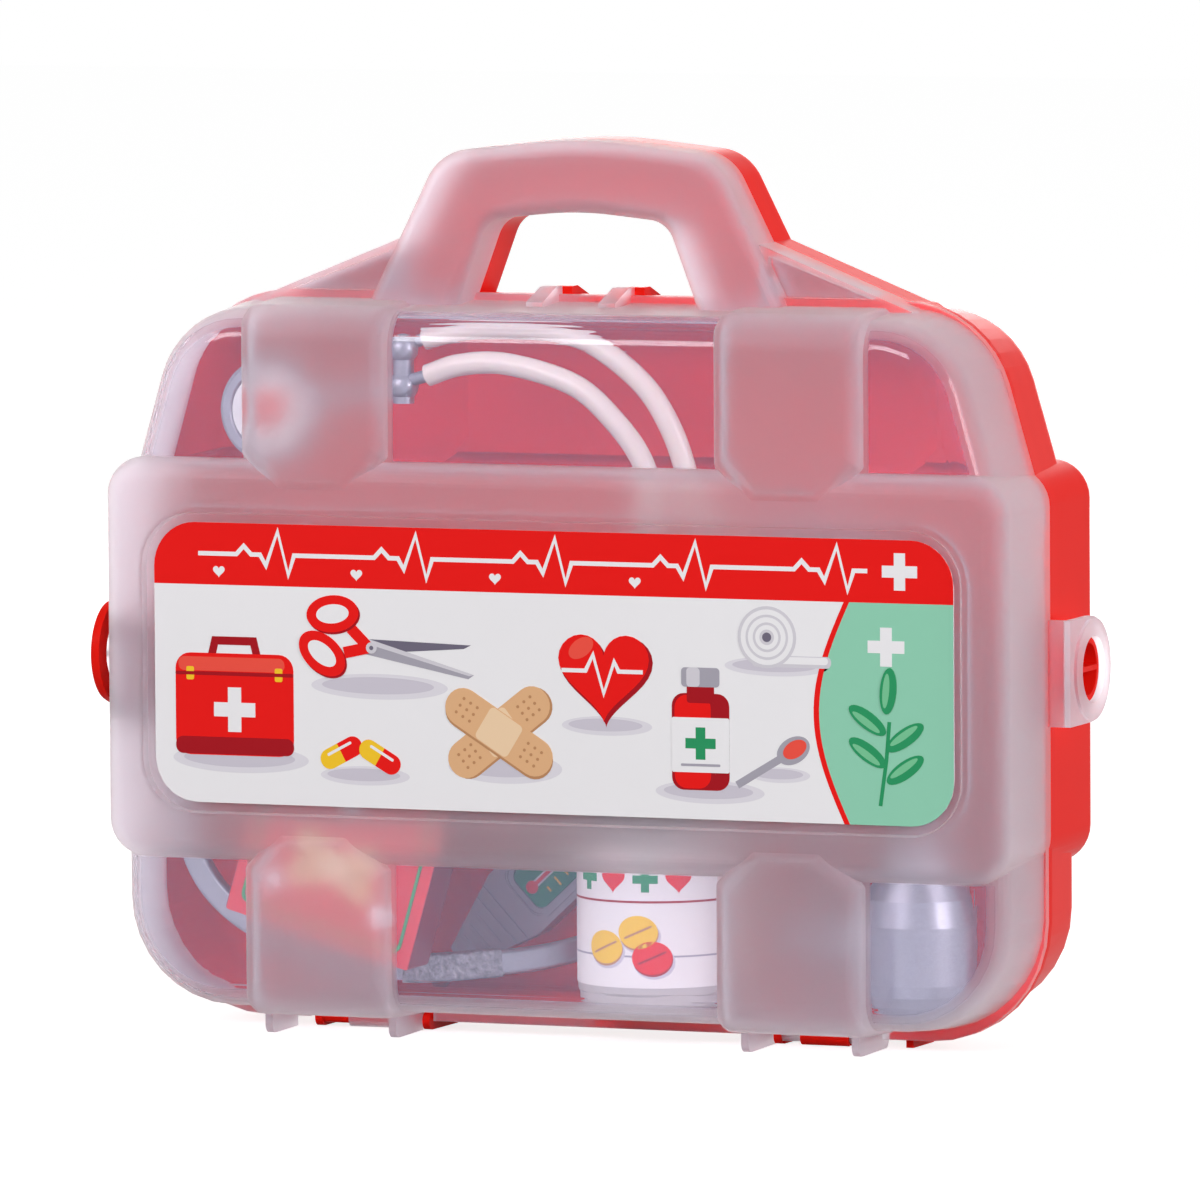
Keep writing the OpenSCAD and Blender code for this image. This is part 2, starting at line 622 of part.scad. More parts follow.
module syringe_barrel() color([0.85, 0.87, 0.9, 0.7]) difference() {
    union() {
        at_syringe(0) rotate_extrude() polygon([[0, nozzle_z], [nozzle_r - 0.8, nozzle_z],
            [nozzle_r, nozzle_z + 7], [nozzle_r + 2, nozzle_z + 8], [barrel_r - 1.5, shoulder_z - 1],
            [barrel_r, shoulder_z + 0.5],
            [barrel_r, barrel_top], [0, barrel_top]]);
        at_syringe(barrel_top - wing_t) linear_extrude(wing_t)
            polygon(rounded(box_corners(-wing_w / 2, wing_w / 2, -barrel_r, barrel_r, 9)));
    }
    at_syringe(barrel_floor) cylinder(r = barrel_r - barrel_wall, h = barrel_h);
    at_syringe(nozzle_z - 1) cylinder(r = 1.2, h = 16);
}
module syringe_seal() color("#b3201c") at_syringe(barrel_floor + drawn) rotate_extrude()
    polygon([[0, 0], [seal_r - 1, 0], [seal_r, 1], [seal_r - 0.8, seal_h / 2], [seal_r, seal_h - 1],
        [seal_r - 1, seal_h], [0, seal_h]]);
module syringe_plunger() color("#e2231f") at_syringe(barrel_floor + drawn + seal_h) {
    cylinder(r = seal_r - 1, h = 2);
    for (a = [0, 90]) rotate(a) translate([-seal_r + 1.5, -1, 0]) cube([2 * seal_r - 3, 2, plunger_h]);
    translate([0, 0, plunger_h - 1]) rotate_extrude()
        polygon([[0, 0], [thumb_r - 1, 0], [thumb_r, 1], [thumb_r, 2.5], [thumb_r - 2, 4], [0, 4.5]]);
}

// ---- reflex hammer, standing on its handle ----

hammer = [74, 10];
hammer_z = floor_z + draft * 16 / rim_d + clear;
head_z = hammer_z + grip_len + head_r;
grip_ribs = 9;
module hammer_handle() color("#a3a2aa") translate([hammer[0], hammer[1], hammer_z]) rotate_extrude()
    polygon(concat([[0, 0], [grip_r - 1, 0]],
        [for (k = [0:grip_ribs - 1], p = [[0, 1], [0, 4], [1, 4.6], [1, 5.4]]) [grip_r - p[0], 5 * k + p[1]]],
        [[grip_r, 5 * grip_ribs + 1], [grip_r, 5 * grip_ribs + 5], [grip_r - 2, 5 * grip_ribs + 12],
        [grip_r - 2, grip_len - 3], [grip_r + 1, grip_len], [0, grip_len]]));
module hammer_head() color("#a3a2aa") translate([hammer[0], hammer[1], head_z + clear / 3]) rotate([0, 90, 0])
    rotate_extrude() polygon([[0, -head_len / 2], [head_r - 5, -head_len / 2],
        [head_r - 1.5, -head_len / 2 + 2], [head_r, -head_len / 2 + 6], [head_r - 0.6, -9],
        [head_r - 3, -7.5], [head_r - 3, -5.5], [head_r, -4.5], [head_r, 4.5], [head_r - 3, 5.5],
        [head_r - 3, 8], [head_r - 2, 9], [head_r - 2, head_len / 2 - 2],
        [head_r - 4, head_len / 2], [0, head_len / 2]]);

// ---- otoscope, standing on its head ----

scope = [111, -12];
scope_z = floor_z + draft * 18 / rim_d + clear + 0.5;   // over the facets of the corner
scope_round = 12;                            // rounding of the head's far end
cone_z = 24;                                 // height of the ear cone's axis on the head
cone_seat = scope_r + 2;                     // distance of the cone's foot from the head's axis
scope_ribs = 6;
module at_scope(z) translate([scope[0], scope[1], scope_z + z]) children();

module otoscope_head() color("#a3a2aa") {
    at_scope(0) rotate_extrude() polygon(concat([[0, 0]],
        [for (k = [0:steps]) let (a = 90 * k / steps)
            [scope_r - scope_round + scope_round * sin(a), scope_round - scope_round * cos(a)]],
        [[scope_r, cone_z + 6], [scope_r - 1.5, cone_z + 14], [scope_grip_r + 2, scope_head_h - 4],
        [scope_grip_r + 2, scope_head_h], [0, scope_head_h]]));
    at_scope(cone_z) rotate([0, -90, 0]) cylinder(r = 9, h = cone_seat);
}
module otoscope_cone() color("#8f8e98") at_scope(cone_z) translate([-cone_seat - clear / 3, 0, 0])
    rotate([0, -90, 0]) difference() {
        rotate_extrude() polygon([[0, 0], [8, 0], [8, 2], [6.5, 3], [3, cone_len], [0, cone_len]]);
        translate([0, 0, 4]) cylinder(r1 = 4.5, r2 = 1.8, h = cone_len - 3.9);
    }
module otoscope_handle() color("#a3a2aa") at_scope(scope_head_h + clear / 3) rotate_extrude()
    polygon(concat([[0, 0], [scope_grip_r, 0]],
        [for (k = [0:scope_ribs - 1], p = [[0, 4], [1.2, 5], [1.2, 7], [0, 8]])
            [scope_grip_r - p[0], 10 * k + p[1]]],
        [[scope_grip_r, scope_len - 4], [scope_grip_r - 3, scope_len], [0, scope_len]]));

// ---- thermometer, standing on its tip and leaning to the right ----

thermo = [-57.3, 29.5, 20.3];                  // middle of the body's lower end
thermo_lean = 47;
thermo_front = -thermo_t / 2;
card_w = thermo_w - 10;
card_end = thermo_len - 12;
module at_thermometer() translate(thermo) rotate([0, thermo_lean, 0]) children();
module card_area(grow) polygon(rounded(box_corners(-card_w / 2 - grow, card_w / 2 + grow,
    taper_len + 5 - grow, card_end + grow, 3 + grow)));
module thermometer_body() color("#c9c6cc") at_thermometer() difference() {
    plate(thermo_front, -thermo_front) polygon(rounded(mirrored([[4, 0, 1.5], [thermo_w / 2, taper_len, 6],
        [thermo_w / 2, thermo_len, 6]])));
    plate(thermo_front - 1, thermo_front + 0.8) card_area(2);
    plate(thermo_front - 1, thermo_front + 1.8) card_area(clear);
    for (v = [taper_len - 8, taper_len - 4])
        translate([-thermo_w, thermo_front - 1, v]) cube([2 * thermo_w, 1.6, 1]);
}
module thermometer_card() color("#2f8f68") at_thermometer()
    plate(thermo_front + 1, thermo_front + 1.8) card_area(0);
module thermometer_probe() color("#d9d6d2") at_thermometer() translate([0, 0, -tip_len]) rotate_extrude()
    polygon([[0, 0], [1.5, 0.4], [2.6, 1.6], [3, 3], [3, tip_len - clear / 3], [0, tip_len - clear / 3]]);

// ---- plaster box ----

box_at = [-51.6, -32, 22.5];                 // lower right corner of its front face
fold = 0.6;
module at_box() translate(box_at) rotate([0, box_lean, 0]) children();
module plaster_box() color("#e2463c") at_box() difference() {
    plate(0, box_t) polygon(rounded(box_corners(-box_w, 0, 0, box_h, 1)));
    translate([-box_w - 1, 1.4, box_h - fold]) cube([box_w + 2, fold, 2]);
    for (x = [-box_w - 1, -fold]) translate([x, 1.4, box_h - 14]) cube([1 + fold, fold, 16]);
}
module plaster_box_print() color("#4f9a57") at_box() plate(-0.3, 0) difference() {
    polygon(rounded(box_corners(-box_w + 4, -4, 4, box_h - 4, 3)));
    polygon(rounded(box_corners(-box_w + 5, -5, 5, box_h - 5, 2.5)));
}

front_shell();
front_label();
front_latch();
rear_shell();
rear_latch();
jar_body();
jar_lid();
jar_label();
chestpiece();
chestpiece_diaphragm();
chestpiece_heart();
tube_left();
tube_right();
headset_frame();
ear_tips();
syringe_barrel();
syringe_plunger();
syringe_seal();
hammer_handle();
hammer_head();
otoscope_handle();
otoscope_head();
otoscope_cone();
thermometer_body();
thermometer_card();
thermometer_probe();
plaster_box();
plaster_box_print();
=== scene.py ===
"""Toy doctor case: frosted front half, red rear half, printed label and the doctor's set inside.

Lengths are in millimetres until a mesh is made. X runs to the right, Y from the front half to the rear
half and Z up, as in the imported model. Outlines are drawn in X and Z, anticlockwise as seen from the front.
"""
import math

import bmesh
import bpy
import numpy as np
from mathutils import Matrix, Vector


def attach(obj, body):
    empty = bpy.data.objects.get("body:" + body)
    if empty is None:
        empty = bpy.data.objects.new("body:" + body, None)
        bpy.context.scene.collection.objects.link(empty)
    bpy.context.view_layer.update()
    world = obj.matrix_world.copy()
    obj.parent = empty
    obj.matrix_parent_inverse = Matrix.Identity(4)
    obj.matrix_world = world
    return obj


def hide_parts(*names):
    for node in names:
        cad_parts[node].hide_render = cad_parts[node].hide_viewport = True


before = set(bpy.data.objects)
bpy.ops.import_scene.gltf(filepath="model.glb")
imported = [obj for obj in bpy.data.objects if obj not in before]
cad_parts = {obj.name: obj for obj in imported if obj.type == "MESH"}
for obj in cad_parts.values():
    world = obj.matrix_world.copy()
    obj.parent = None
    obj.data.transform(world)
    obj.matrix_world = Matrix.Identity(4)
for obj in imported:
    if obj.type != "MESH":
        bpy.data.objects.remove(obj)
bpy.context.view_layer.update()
MM = 0.001

# ---------------------------------------------------------------- camera

CAMERA_AT = (1489.0, -3779.2, 492.8)         # where the photograph was taken from
CAMERA_RIGHT = (0.93057, 0.36607, -0.00622)
CAMERA_UP = (-0.02618, 0.08348, 0.99617)
CAMERA_SENSOR, CAMERA_LENS = 36.0, 391.7
CAMERA_SHIFT = (0.00255, 0.00118)
CAMERA_REACH = 50.0                          # metres


def make_camera():
    """Camera that shows the case as the photograph does."""
    data = bpy.data.cameras.new("photo_camera")
    data.sensor_width = CAMERA_SENSOR
    data.lens = CAMERA_LENS
    data.shift_x, data.shift_y = CAMERA_SHIFT
    data.clip_end = CAMERA_REACH
    camera = bpy.data.objects.new("photo_camera", data)
    right, up = Vector(CAMERA_RIGHT).normalized(), Vector(CAMERA_UP).normalized()
    back = right.cross(up).normalized()
    up = back.cross(right)
    place = Matrix((right, up, back)).transposed().to_4x4()
    place.translation = Vector(CAMERA_AT) * MM
    camera.matrix_world = place
    bpy.context.scene.collection.objects.link(camera)
    bpy.context.scene.camera = camera


make_camera()

# ---------------------------------------------------------------- the two tubes, made first

TUBE_D = 7.0
TUBE_LEFT = [(-49, -18, 208), (-38, -18, 211.5), (-22, -18, 212), (0, -18, 206), (14, -18, 194.5),
             (23, -18, 182), (26, -18, 168), (22, -16, 154), (8, -13, 143), (-12, -10, 137), (-40, -8, 136),
             (-66, -8, 138), (-96, -8, 140), (-114, -6.6, 137), (-126, -5.6, 130), (-131, -4.8, 120),
             (-131, -5, 112)]
TUBE_RIGHT = [(-52, -13, 219), (-40, -12, 222), (-24, -12, 223), (-8, -12, 222), (5, -12, 218),
              (21, -12, 206), (30.5, -12, 191.5), (36, -10, 174), (42, -2, 152), (48, 12, 128),
              (50, 24, 110), (46, 30, 99)]


def smooth_route(points, steps):
    """Catmull-Rom line through the points, as in the solids."""
    p = [np.array(q, float) for q in points]
    p = [2 * p[0] - p[1]] + p + [2 * p[-1] - p[-2]]
    line = []
    for a, b, c, d in zip(p, p[1:], p[2:], p[3:]):
        for t in np.arange(steps) / steps:
            line.append(0.5 * (2 * b + (c - a) * t + (2 * a - 5 * b + 4 * c - d) * t ** 2
                               + (3 * b - a - 3 * c + d) * t ** 3))
    return line + [p[-2]]


def length_of(line):
    """Length along a line of points."""
    return float(sum(np.linalg.norm(b - a) for a, b in zip(line, line[1:])))


def tube_mesh(name, line, radius, sides=24):
    """Round tube along a line, with flat ends. The rings turn as little as they can from one to the next."""
    points, faces = [], []
    across = np.array((0.0, 1.0, 0.0))
    for i, p in enumerate(line):
        along = line[min(i + 1, len(line) - 1)] - line[max(i - 1, 0)]
        along = along / np.linalg.norm(along)
        across = across - along * (across @ along)
        across = across / np.linalg.norm(across)
        third = np.cross(along, across)
        points += [p + radius * (across * math.cos(a) + third * math.sin(a))
                   for a in (2 * math.pi * k / sides for k in range(sides))]
    for i in range(len(line) - 1):
        for j in range(sides):
            a, b = i * sides + j, i * sides + (j + 1) % sides
            faces.append((a, b, b + sides, a + sides))
    faces.append(tuple(range(sides - 1, -1, -1)))
    faces.append(tuple(range(len(points) - sides, len(points))))
    mesh = bpy.data.meshes.new(name)
    mesh.from_pydata([tuple(p * MM) for p in points], [], faces)
    mesh.shade_smooth()
    mesh.set_sharp_from_angle(angle=math.radians(50))
    tube = bpy.data.objects.new(name, mesh)
    bpy.context.scene.collection.objects.link(tube)
    return tube


def make_tube(name, points):
    """One limp tube, from the chestpiece's yoke to the headset's spigot."""
    line = smooth_route(points, 8)
    tube = tube_mesh(name, line, TUBE_D / 2)
    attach(tube, "rear")
    length_of(line) * MM
    return tube


tubes = [make_tube("stethoscope_tube_left", TUBE_LEFT), make_tube("stethoscope_tube_right", TUBE_RIGHT)]
for tube, solid in zip(tubes, ("tube_left", "tube_right")):
    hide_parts(solid)

# ---------------------------------------------------------------- materials

GRAIN_STRENGTH = 0.35


def new_material(name):
    """A material with its nodes, its links and its main shader."""
    material = bpy.data.materials.new(name)
    material.use_nodes = True
    nodes, links = material.node_tree.nodes, material.node_tree.links
    return material, nodes, links, nodes["Principled BSDF"]


def set_sockets(shader, **values):
    """Sets constants on the shader's own sockets."""
    for name, value in values.items():
        shader.inputs[name.replace("_", " ")].default_value = value


def node(nodes, kind, **settings):
    """Adds a node with these settings."""
    made = nodes.new(kind)
    for name, value in settings.items():
        setattr(made, name, value)
    return made


def feed(links, socket, value):
    """Sets a socket to a plain value, or links it to another node's output."""
    if isinstance(value, bpy.types.NodeSocket):
        links.new(value, socket)
    else:
        socket.default_value = value


def add_grain(nodes, links, shader, scale, distance, detail=3.0):
    """Fine moulded grain: a noise bump on object coordinates."""
    place = node(nodes, "ShaderNodeTexCoord")
    noise = node(nodes, "ShaderNodeTexNoise")
    noise.inputs["Scale"].default_value = scale
    noise.inputs["Detail"].default_value = detail
    bump = node(nodes, "ShaderNodeBump")
    bump.inputs["Distance"].default_value = distance
    bump.inputs["Strength"].default_value = GRAIN_STRENGTH
    links.new(place.outputs["Object"], noise.inputs["Vector"])
    links.new(noise.outputs["Fac"], bump.inputs["Height"])
    links.new(bump.outputs["Normal"], shader.inputs["Normal"])
    return noise


def add_mottle(nodes, links, shader, colour, spread=0.06, scale=9.0):
    """Slow colour variation, as in moulded plastic of uneven thickness."""
    place = node(nodes, "ShaderNodeTexCoord")
    noise = node(nodes, "ShaderNodeTexNoise")
    noise.inputs["Scale"].default_value = scale
    shades = node(nodes, "ShaderNodeMix", data_type="RGBA")
    shades.inputs["A"].default_value = (*[c * (1 - spread) for c in colour], 1)
    shades.inputs["B"].default_value = (*[min(1, c * (1 + spread)) for c in colour], 1)
    links.new(place.outputs["Object"], noise.inputs["Vector"])
    links.new(noise.outputs["Fac"], shades.inputs["Factor"])
    links.new(shades.outputs["Result"], shader.inputs["Base Color"])


def moulded_plastic(name, colour, roughness=0.35, grain=700, depth=0.00004, spread=0.05, **sockets):
    """Plastic of one colour, with moulded grain and a little unevenness."""
    material, nodes, links, shader = new_material(name)
    set_sockets(shader, Roughness=roughness, **sockets)
    add_mottle(nodes, links, shader, colour, spread)
    add_grain(nodes, links, shader, grain, depth)
    return material


def srgb(r, g, b):
    """A colour as it looks on a screen, 0 to 255, in the renderer's linear units."""
    screen = (r / 255, g / 255, b / 255)
    return tuple(c / 12.92 if c <= 0.04045 else ((c + 0.055) / 1.055) ** 2.4 for c in screen)


def finish_node(name, material):
    """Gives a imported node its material."""
    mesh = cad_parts[name].data
    mesh.materials.clear()
    mesh.materials.append(material)


def lit_through(nodes, links, surface, tint):
    """Ends a clear material: lamps shine through it, which a refracting surface would otherwise shade."""
    path = node(nodes, "ShaderNodeLightPath")
    through = node(nodes, "ShaderNodeBsdfTransparent")
    through.inputs["Color"].default_value = (*tint, 1)
    mix = node(nodes, "ShaderNodeMixShader")
    links.new(path.outputs["Is Shadow Ray"], mix.inputs["Fac"])
    links.new(surface.outputs[0], mix.inputs[1])
    links.new(through.outputs[0], mix.inputs[2])
    links.new(mix.outputs[0], nodes["Material Output"].inputs["Surface"])


# ---------------------------------------------------------------- shapes

BEVEL_FROM = 38                              # degrees: edges that turn less than this stay as they are


def unit(v):
    return v / np.linalg.norm(v)


def rounded(corners, inset=0.0, steps=8):
    """Outline of a convex shape from [x, z, radius] corners, every wall moved in by inset."""
    points = []
    count = len(corners)
    for i in range(count):
        before, here, after = (np.array(corners[(i + k) % count][:2], float) for k in (-1, 0, 1))
        radius = corners[i][2]
        u1, u2 = unit(here - before), unit(after - here)
        n1, n2 = np.array((-u1[1], u1[0])), np.array((-u2[1], u2[0]))
        centre = here + (n1 + n2) * radius / (1 + n1 @ n2)
        turn = math.acos(max(-1, min(1, u1 @ u2)))
        for k in range(steps + 1):
            a = turn * k / steps
            c, s = math.cos(a), math.sin(a)
            spoke = np.array((n1[0] * c - n1[1] * s, n1[0] * s + n1[1] * c))
            points.append(centre - (radius - inset) * spoke)
    return points


def box_corners(x0, x1, z0, z1, r):
    """Corners of an upright rectangle with rounded corners, for rounded()."""
    return [(x0, z0, r), (x1, z0, r), (x1, z1, r), (x0, z1, r)]


def mirrored(right):
    """Corners of both halves from those of the right one."""
    return list(right) + [(-x, z, r) for x, z, r in reversed(right)]


def mesh_from(name, points, faces):
    """Mesh from points in millimetres."""
    mesh = bpy.data.meshes.new(name)
    mesh.from_pydata([tuple(c * MM for c in p) for p in points], [], faces)
    mesh.update()
    return mesh


def piece_from(mesh, name=None):
    """Puts a mesh into the scene, at the origin."""
    piece = bpy.data.objects.new(name or mesh.name, mesh)
    bpy.context.scene.collection.objects.link(piece)
    return piece


def loft(name, sections):
    """Solid through [y, outline] sections, from the parting plane forwards."""
    count = len(sections[0][1])
    points = [(p[0], y, p[1]) for y, outline in sections for p in outline]
    faces = [tuple(range(count - 1, -1, -1))]
    for j in range(len(sections) - 1):
        for i in range(count):
            a, b = j * count + i, j * count + (i + 1) % count
            faces.append((a, b, b + count, a + count))
    faces.append(tuple(range(len(points) - count, len(points))))
    return piece_from(mesh_from(name, points, faces))


def plate(name, outline, y0, y1):
    """Flat outline between two depths, y0 in front of y1."""
    return loft(name, [(y1, outline), (y0, outline)])


def rib(name, outline, x, thickness):
    """Outline in Y and Z, raised either side of x."""
    count = len(outline)
    points = [(x + side * thickness / 2, p[0], p[1]) for side in (-1, 1) for p in outline]
    faces = [tuple(range(count - 1, -1, -1)), tuple(range(count, 2 * count))]
    faces += [(i, (i + 1) % count, count + (i + 1) % count, count + i) for i in range(count)]
    return piece_from(mesh_from(name, points, faces))


def block(name, y0, y1, z0, z1, x, thickness):
    """Box from y0 to y1 and from z0 to z1, raised either side of x."""
    return rib(name, [(y0, z0), (y1, z0), (y1, z1), (y0, z1)], x, thickness)


def cylinder(name, radius, x0, x1, y, z, steps=64):
    """Round bar along X."""
    ring = [(y + radius * math.cos(2 * math.pi * k / steps), z + radius * math.sin(2 * math.pi * k / steps))
            for k in range(steps)]
    return rib(name, ring, (x0 + x1) / 2, x1 - x0)


def drop(*objects):
    """Removes tools that have done their cut."""
    for o in objects:
        mesh = o.data
        bpy.data.objects.remove(o)
        bpy.data.meshes.remove(mesh)


def triangulate(mesh):
    """Faces as triangles, because the boolean solver folds large ones that aren't quite flat."""
    work = bmesh.new()
    work.from_mesh(mesh)
    bmesh.ops.triangulate(work, faces=work.faces[:], ngon_method="EAR_CLIP")
    work.to_mesh(mesh)
    work.free()


def outward(piece):
    """Makes every face of a closed mesh point outwards."""
    work = bmesh.new()
    work.from_mesh(piece.data)
    bmesh.ops.recalc_face_normals(work, faces=work.faces[:])
    work.to_mesh(piece.data)
    work.free()


def apply_modifiers(piece):
    """Makes what the piece's modifiers give its own plain mesh."""
    evaluated = piece.evaluated_get(bpy.context.evaluated_depsgraph_get())
    mesh = bpy.data.meshes.new_from_object(evaluated)
    piece.modifiers.clear()
    old, piece.data = piece.data, mesh
    bpy.data.meshes.remove(old)


def combine(target, tools, operation):
    """Adds or cuts each tool from the target and applies it."""
    triangulate(target.data)
    for tool in tools:
        triangulate(tool.data)
        step = target.modifiers.new("combine", "BOOLEAN")
        step.operation, step.solver, step.object = operation, "MANIFOLD", tool
        apply_modifiers(target)
    drop(*tools)
    return target


def add(target, *tools):
    return combine(target, tools, "UNION")


def cut(target, *tools):
    return combine(target, tools, "DIFFERENCE")


def settle(piece, body, material, angle=32, bevel=0.0, replaces=()):
    """Finishes a piece: soft edges, smooth shading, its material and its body."""
    if bevel:
        soften = piece.modifiers.new("soften", "BEVEL")
        soften.width, soften.segments, soften.limit_method = bevel * MM, 2, "ANGLE"
        soften.angle_limit = math.radians(BEVEL_FROM)
        soften.harden_normals = False
        apply_modifiers(piece)
    piece.data.materials.clear()
    piece.data.materials.append(material)
    piece.data.shade_smooth()
    piece.data.set_sharp_from_angle(angle=math.radians(angle))
    weigh = piece.modifiers.new("weigh", "WEIGHTED_NORMAL")
    weigh.keep_sharp = True
    apply_modifiers(piece)
    piece.data.name = piece.name
    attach(piece, body)
    if replaces:
        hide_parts(*replaces)
    return piece


# ---------------------------------------------------------------- the case's driving sizes

SIDE_X = 149.0
CASE_H = 231.0
TUB_Z = 7.0
HALF_D = 37.0
WALL = 2.0
CORNER_R = 36.0
EDGE_R = 11.0
DRAFT = 2.0
LEAN_Z, LEAN_IN, TOP_R = 166.6, 18.8, 32.0
FLANGE_T, LIP_Z, LIP_TOP = 3.0, 3.3, 2.0
BAND_Z0, BAND_Z1, BAND_OUT, BAND_SIDE, BAND_R, BAND_EDGE = 56.2, 182.1, 6.0, 1.0, 12.0, 7.0
STRAP_X, STRAP_W, STRAP_OUT, STRAP_CHAMFER, STRAP_LAP, STRAP_EDGE = 78.8, 49.6, 7.0, 11.5, 11.0, 4.0
STRAP_OVER, STRAP_FOOT = 0.6, 3.2            # a strap's reach past the top, and its end above the lip
LABEL_W, LABEL_H, LABEL_R, LABEL_T, LABEL_GAP, RECESS_D = 266.0, 88.0, 14.0, 0.5, 2.8, 3.0
LABEL_Z = (BAND_Z0 + BAND_Z1 - 1.9) / 2
LABEL_Y = -(HALF_D + BAND_OUT - RECESS_D)
RECESS_LIP = 0.6                             # the recess widens by this at its rim
HANDLE_W, HANDLE_H, HANDLE_D, HANDLE_EDGE, GRIP_W, GRIP_H = 140.0, 51.0, 19.0, 5.0, 80.0, 28.6
GUSSET_RISE, GUSSET_OUT = 19.4, 111.0
AXIS_Z, ROD_R, ROD_GAP, KNUCKLE_R, CLIP_W, MOUTH_W = 3.0, 1.75, 0.05, 2.8, 16.0, 2.2
FIN_T, FIN_Y, FIN_IN, FIN_OUT, FIN_EYE, FIN_FOOT = 2.4, 24.0, 57.7, 94.3, 60.4, 102.3
LATCH_Z, LATCH_Y, RING_R, RING_HOLE, LATCH_T, RING_OUT, LATCH_STAND = 118.7, 17.0, 16.5, 10.4, 2.0, 1.0, 5.3
STUD_IN, STUD_GAP, STUD_WALL, STUD_WEB, CLEAR = 1.0, 0.3, 1.8, 1.6, 0.3
LATCH_X = SIDE_X + BAND_SIDE + LATCH_STAND
ROUND = 9                                    # facets in each rounding

# ---------------------------------------------------------------- the half shell

TUB = mirrored([(SIDE_X, TUB_Z, CORNER_R), (SIDE_X, LEAN_Z, 20), (SIDE_X - LEAN_IN, CASE_H, TOP_R)])
BAND = box_corners(-SIDE_X - BAND_SIDE, SIDE_X + BAND_SIDE, BAND_Z0, BAND_Z1, BAND_R)


def tray(name, corners, depth, edge, lean, skin):
    """Straight wall with draft, then a rounding into the face. skin is how far the surface is set in."""
    sections = [(1.0 if skin else 0.0, rounded(corners, skin))]
    for k in range(ROUND + 1):
        a = math.pi / 2 * k / ROUND
        sections.append((-(depth - edge) - (edge - skin) * math.sin(a),
                         rounded(corners, lean + skin + (edge - skin) * (1 - math.cos(a)))))
    return loft(name, sections)


def strap(top, x_mid, skin):
    """One raised strap, chamfered over the band and wrapped round the top or the bottom."""
    half = STRAP_W / 2 - skin
    depth = HALF_D + STRAP_OUT
    up = 1 if top else -1
    end = BAND_Z1 - STRAP_LAP + skin if top else BAND_Z0 + STRAP_LAP - skin
    far = CASE_H + STRAP_OVER - skin if top else LIP_Z + STRAP_FOOT + skin
    chamfer = STRAP_CHAMFER - skin / 2

    def ring(inset, wrap):
        x, zf, ze = half - inset, far - up * wrap, end + up * inset
        corners = [(-x + chamfer, ze, 2.0), (x - chamfer, ze, 2.0), (x, ze + up * chamfer, 2.0),
                   (x, zf, 3.0), (-x, zf, 3.0), (-x, ze + up * chamfer, 2.0)]
        corners = corners if top else corners[::-1]
        return [p + (x_mid, 0) for p in rounded(corners, 0, 4)]

    radius = EDGE_R - skin
    sections = [(-12.0, ring(0, 0))]
    for k in range(ROUND + 4):
        a = math.pi / 2 * k / (ROUND + 3)
        y = (depth - EDGE_R) + radius * math.sin(a)
        past = max(0.0, y - (depth - skin - STRAP_EDGE))
        sections.append((-y, ring(DRAFT / 2 + STRAP_EDGE - math.sqrt(max(0.0, STRAP_EDGE ** 2 - past ** 2)),
                                  DRAFT / 2 + radius * (1 - math.cos(a)))))
    return loft("strap", sections)


def straps(skin):
    """The four straps, or with a skin their hollows."""
    return [strap(top, x, skin) for x in (-STRAP_X, STRAP_X) for top in (True, False)]


def label_area(grow, steps=10):
    """The label's outline, grown all round."""
    return rounded(box_corners(-LABEL_W / 2 - grow, LABEL_W / 2 + grow, LABEL_Z - LABEL_H / 2 - grow,
                               LABEL_Z + LABEL_H / 2 + grow, LABEL_R + grow), 0, steps)


def moulded_tray():
    """Hollow tub with its band, straps and label recess."""
    face = -HALF_D - BAND_OUT
    body = tray("half_shell", TUB, HALF_D, EDGE_R, DRAFT, 0)
    add(body, tray("band", BAND, HALF_D + BAND_OUT, BAND_EDGE, 0, 0), *straps(0))
    band_hollow = tray("band_hollow", BAND, HALF_D + BAND_OUT, BAND_EDGE, 0, WALL)
    cut(band_hollow, plate("recess_back", label_area(LABEL_GAP + WALL), face, LABEL_Y + WALL))
    cut(body, tray("hollow", TUB, HALF_D, EDGE_R, DRAFT, WALL), band_hollow, *straps(WALL))
    inner, rim = label_area(LABEL_GAP), label_area(LABEL_GAP + RECESS_LIP)
    recess = [(LABEL_Y, inner), (face + 0.8, inner), (face - 0.2, rim), (face - 1, rim)]
    return cut(body, loft("recess", recess))


HANDLE_OUTER = [(HANDLE_W / 2, CASE_H - 1, 0.01), (46, CASE_H + HANDLE_H - 4.4, 16),
                (0, CASE_H + HANDLE_H + 0.6, 150)]
HANDLE_INNER = [(GRIP_W / 2, CASE_H - 1, 0.01), (30, CASE_H + GRIP_H - 2.8, 9),
                (0, CASE_H + GRIP_H + 0.3, 110)]


def arch(half, steps=10):
    """Open line over the handle from its right half's corners."""
    full = half + [(-x, z, r) for x, z, r in reversed(half[:2])]
    points = rounded(full, 0, steps)
    return points[steps:len(points) - steps]


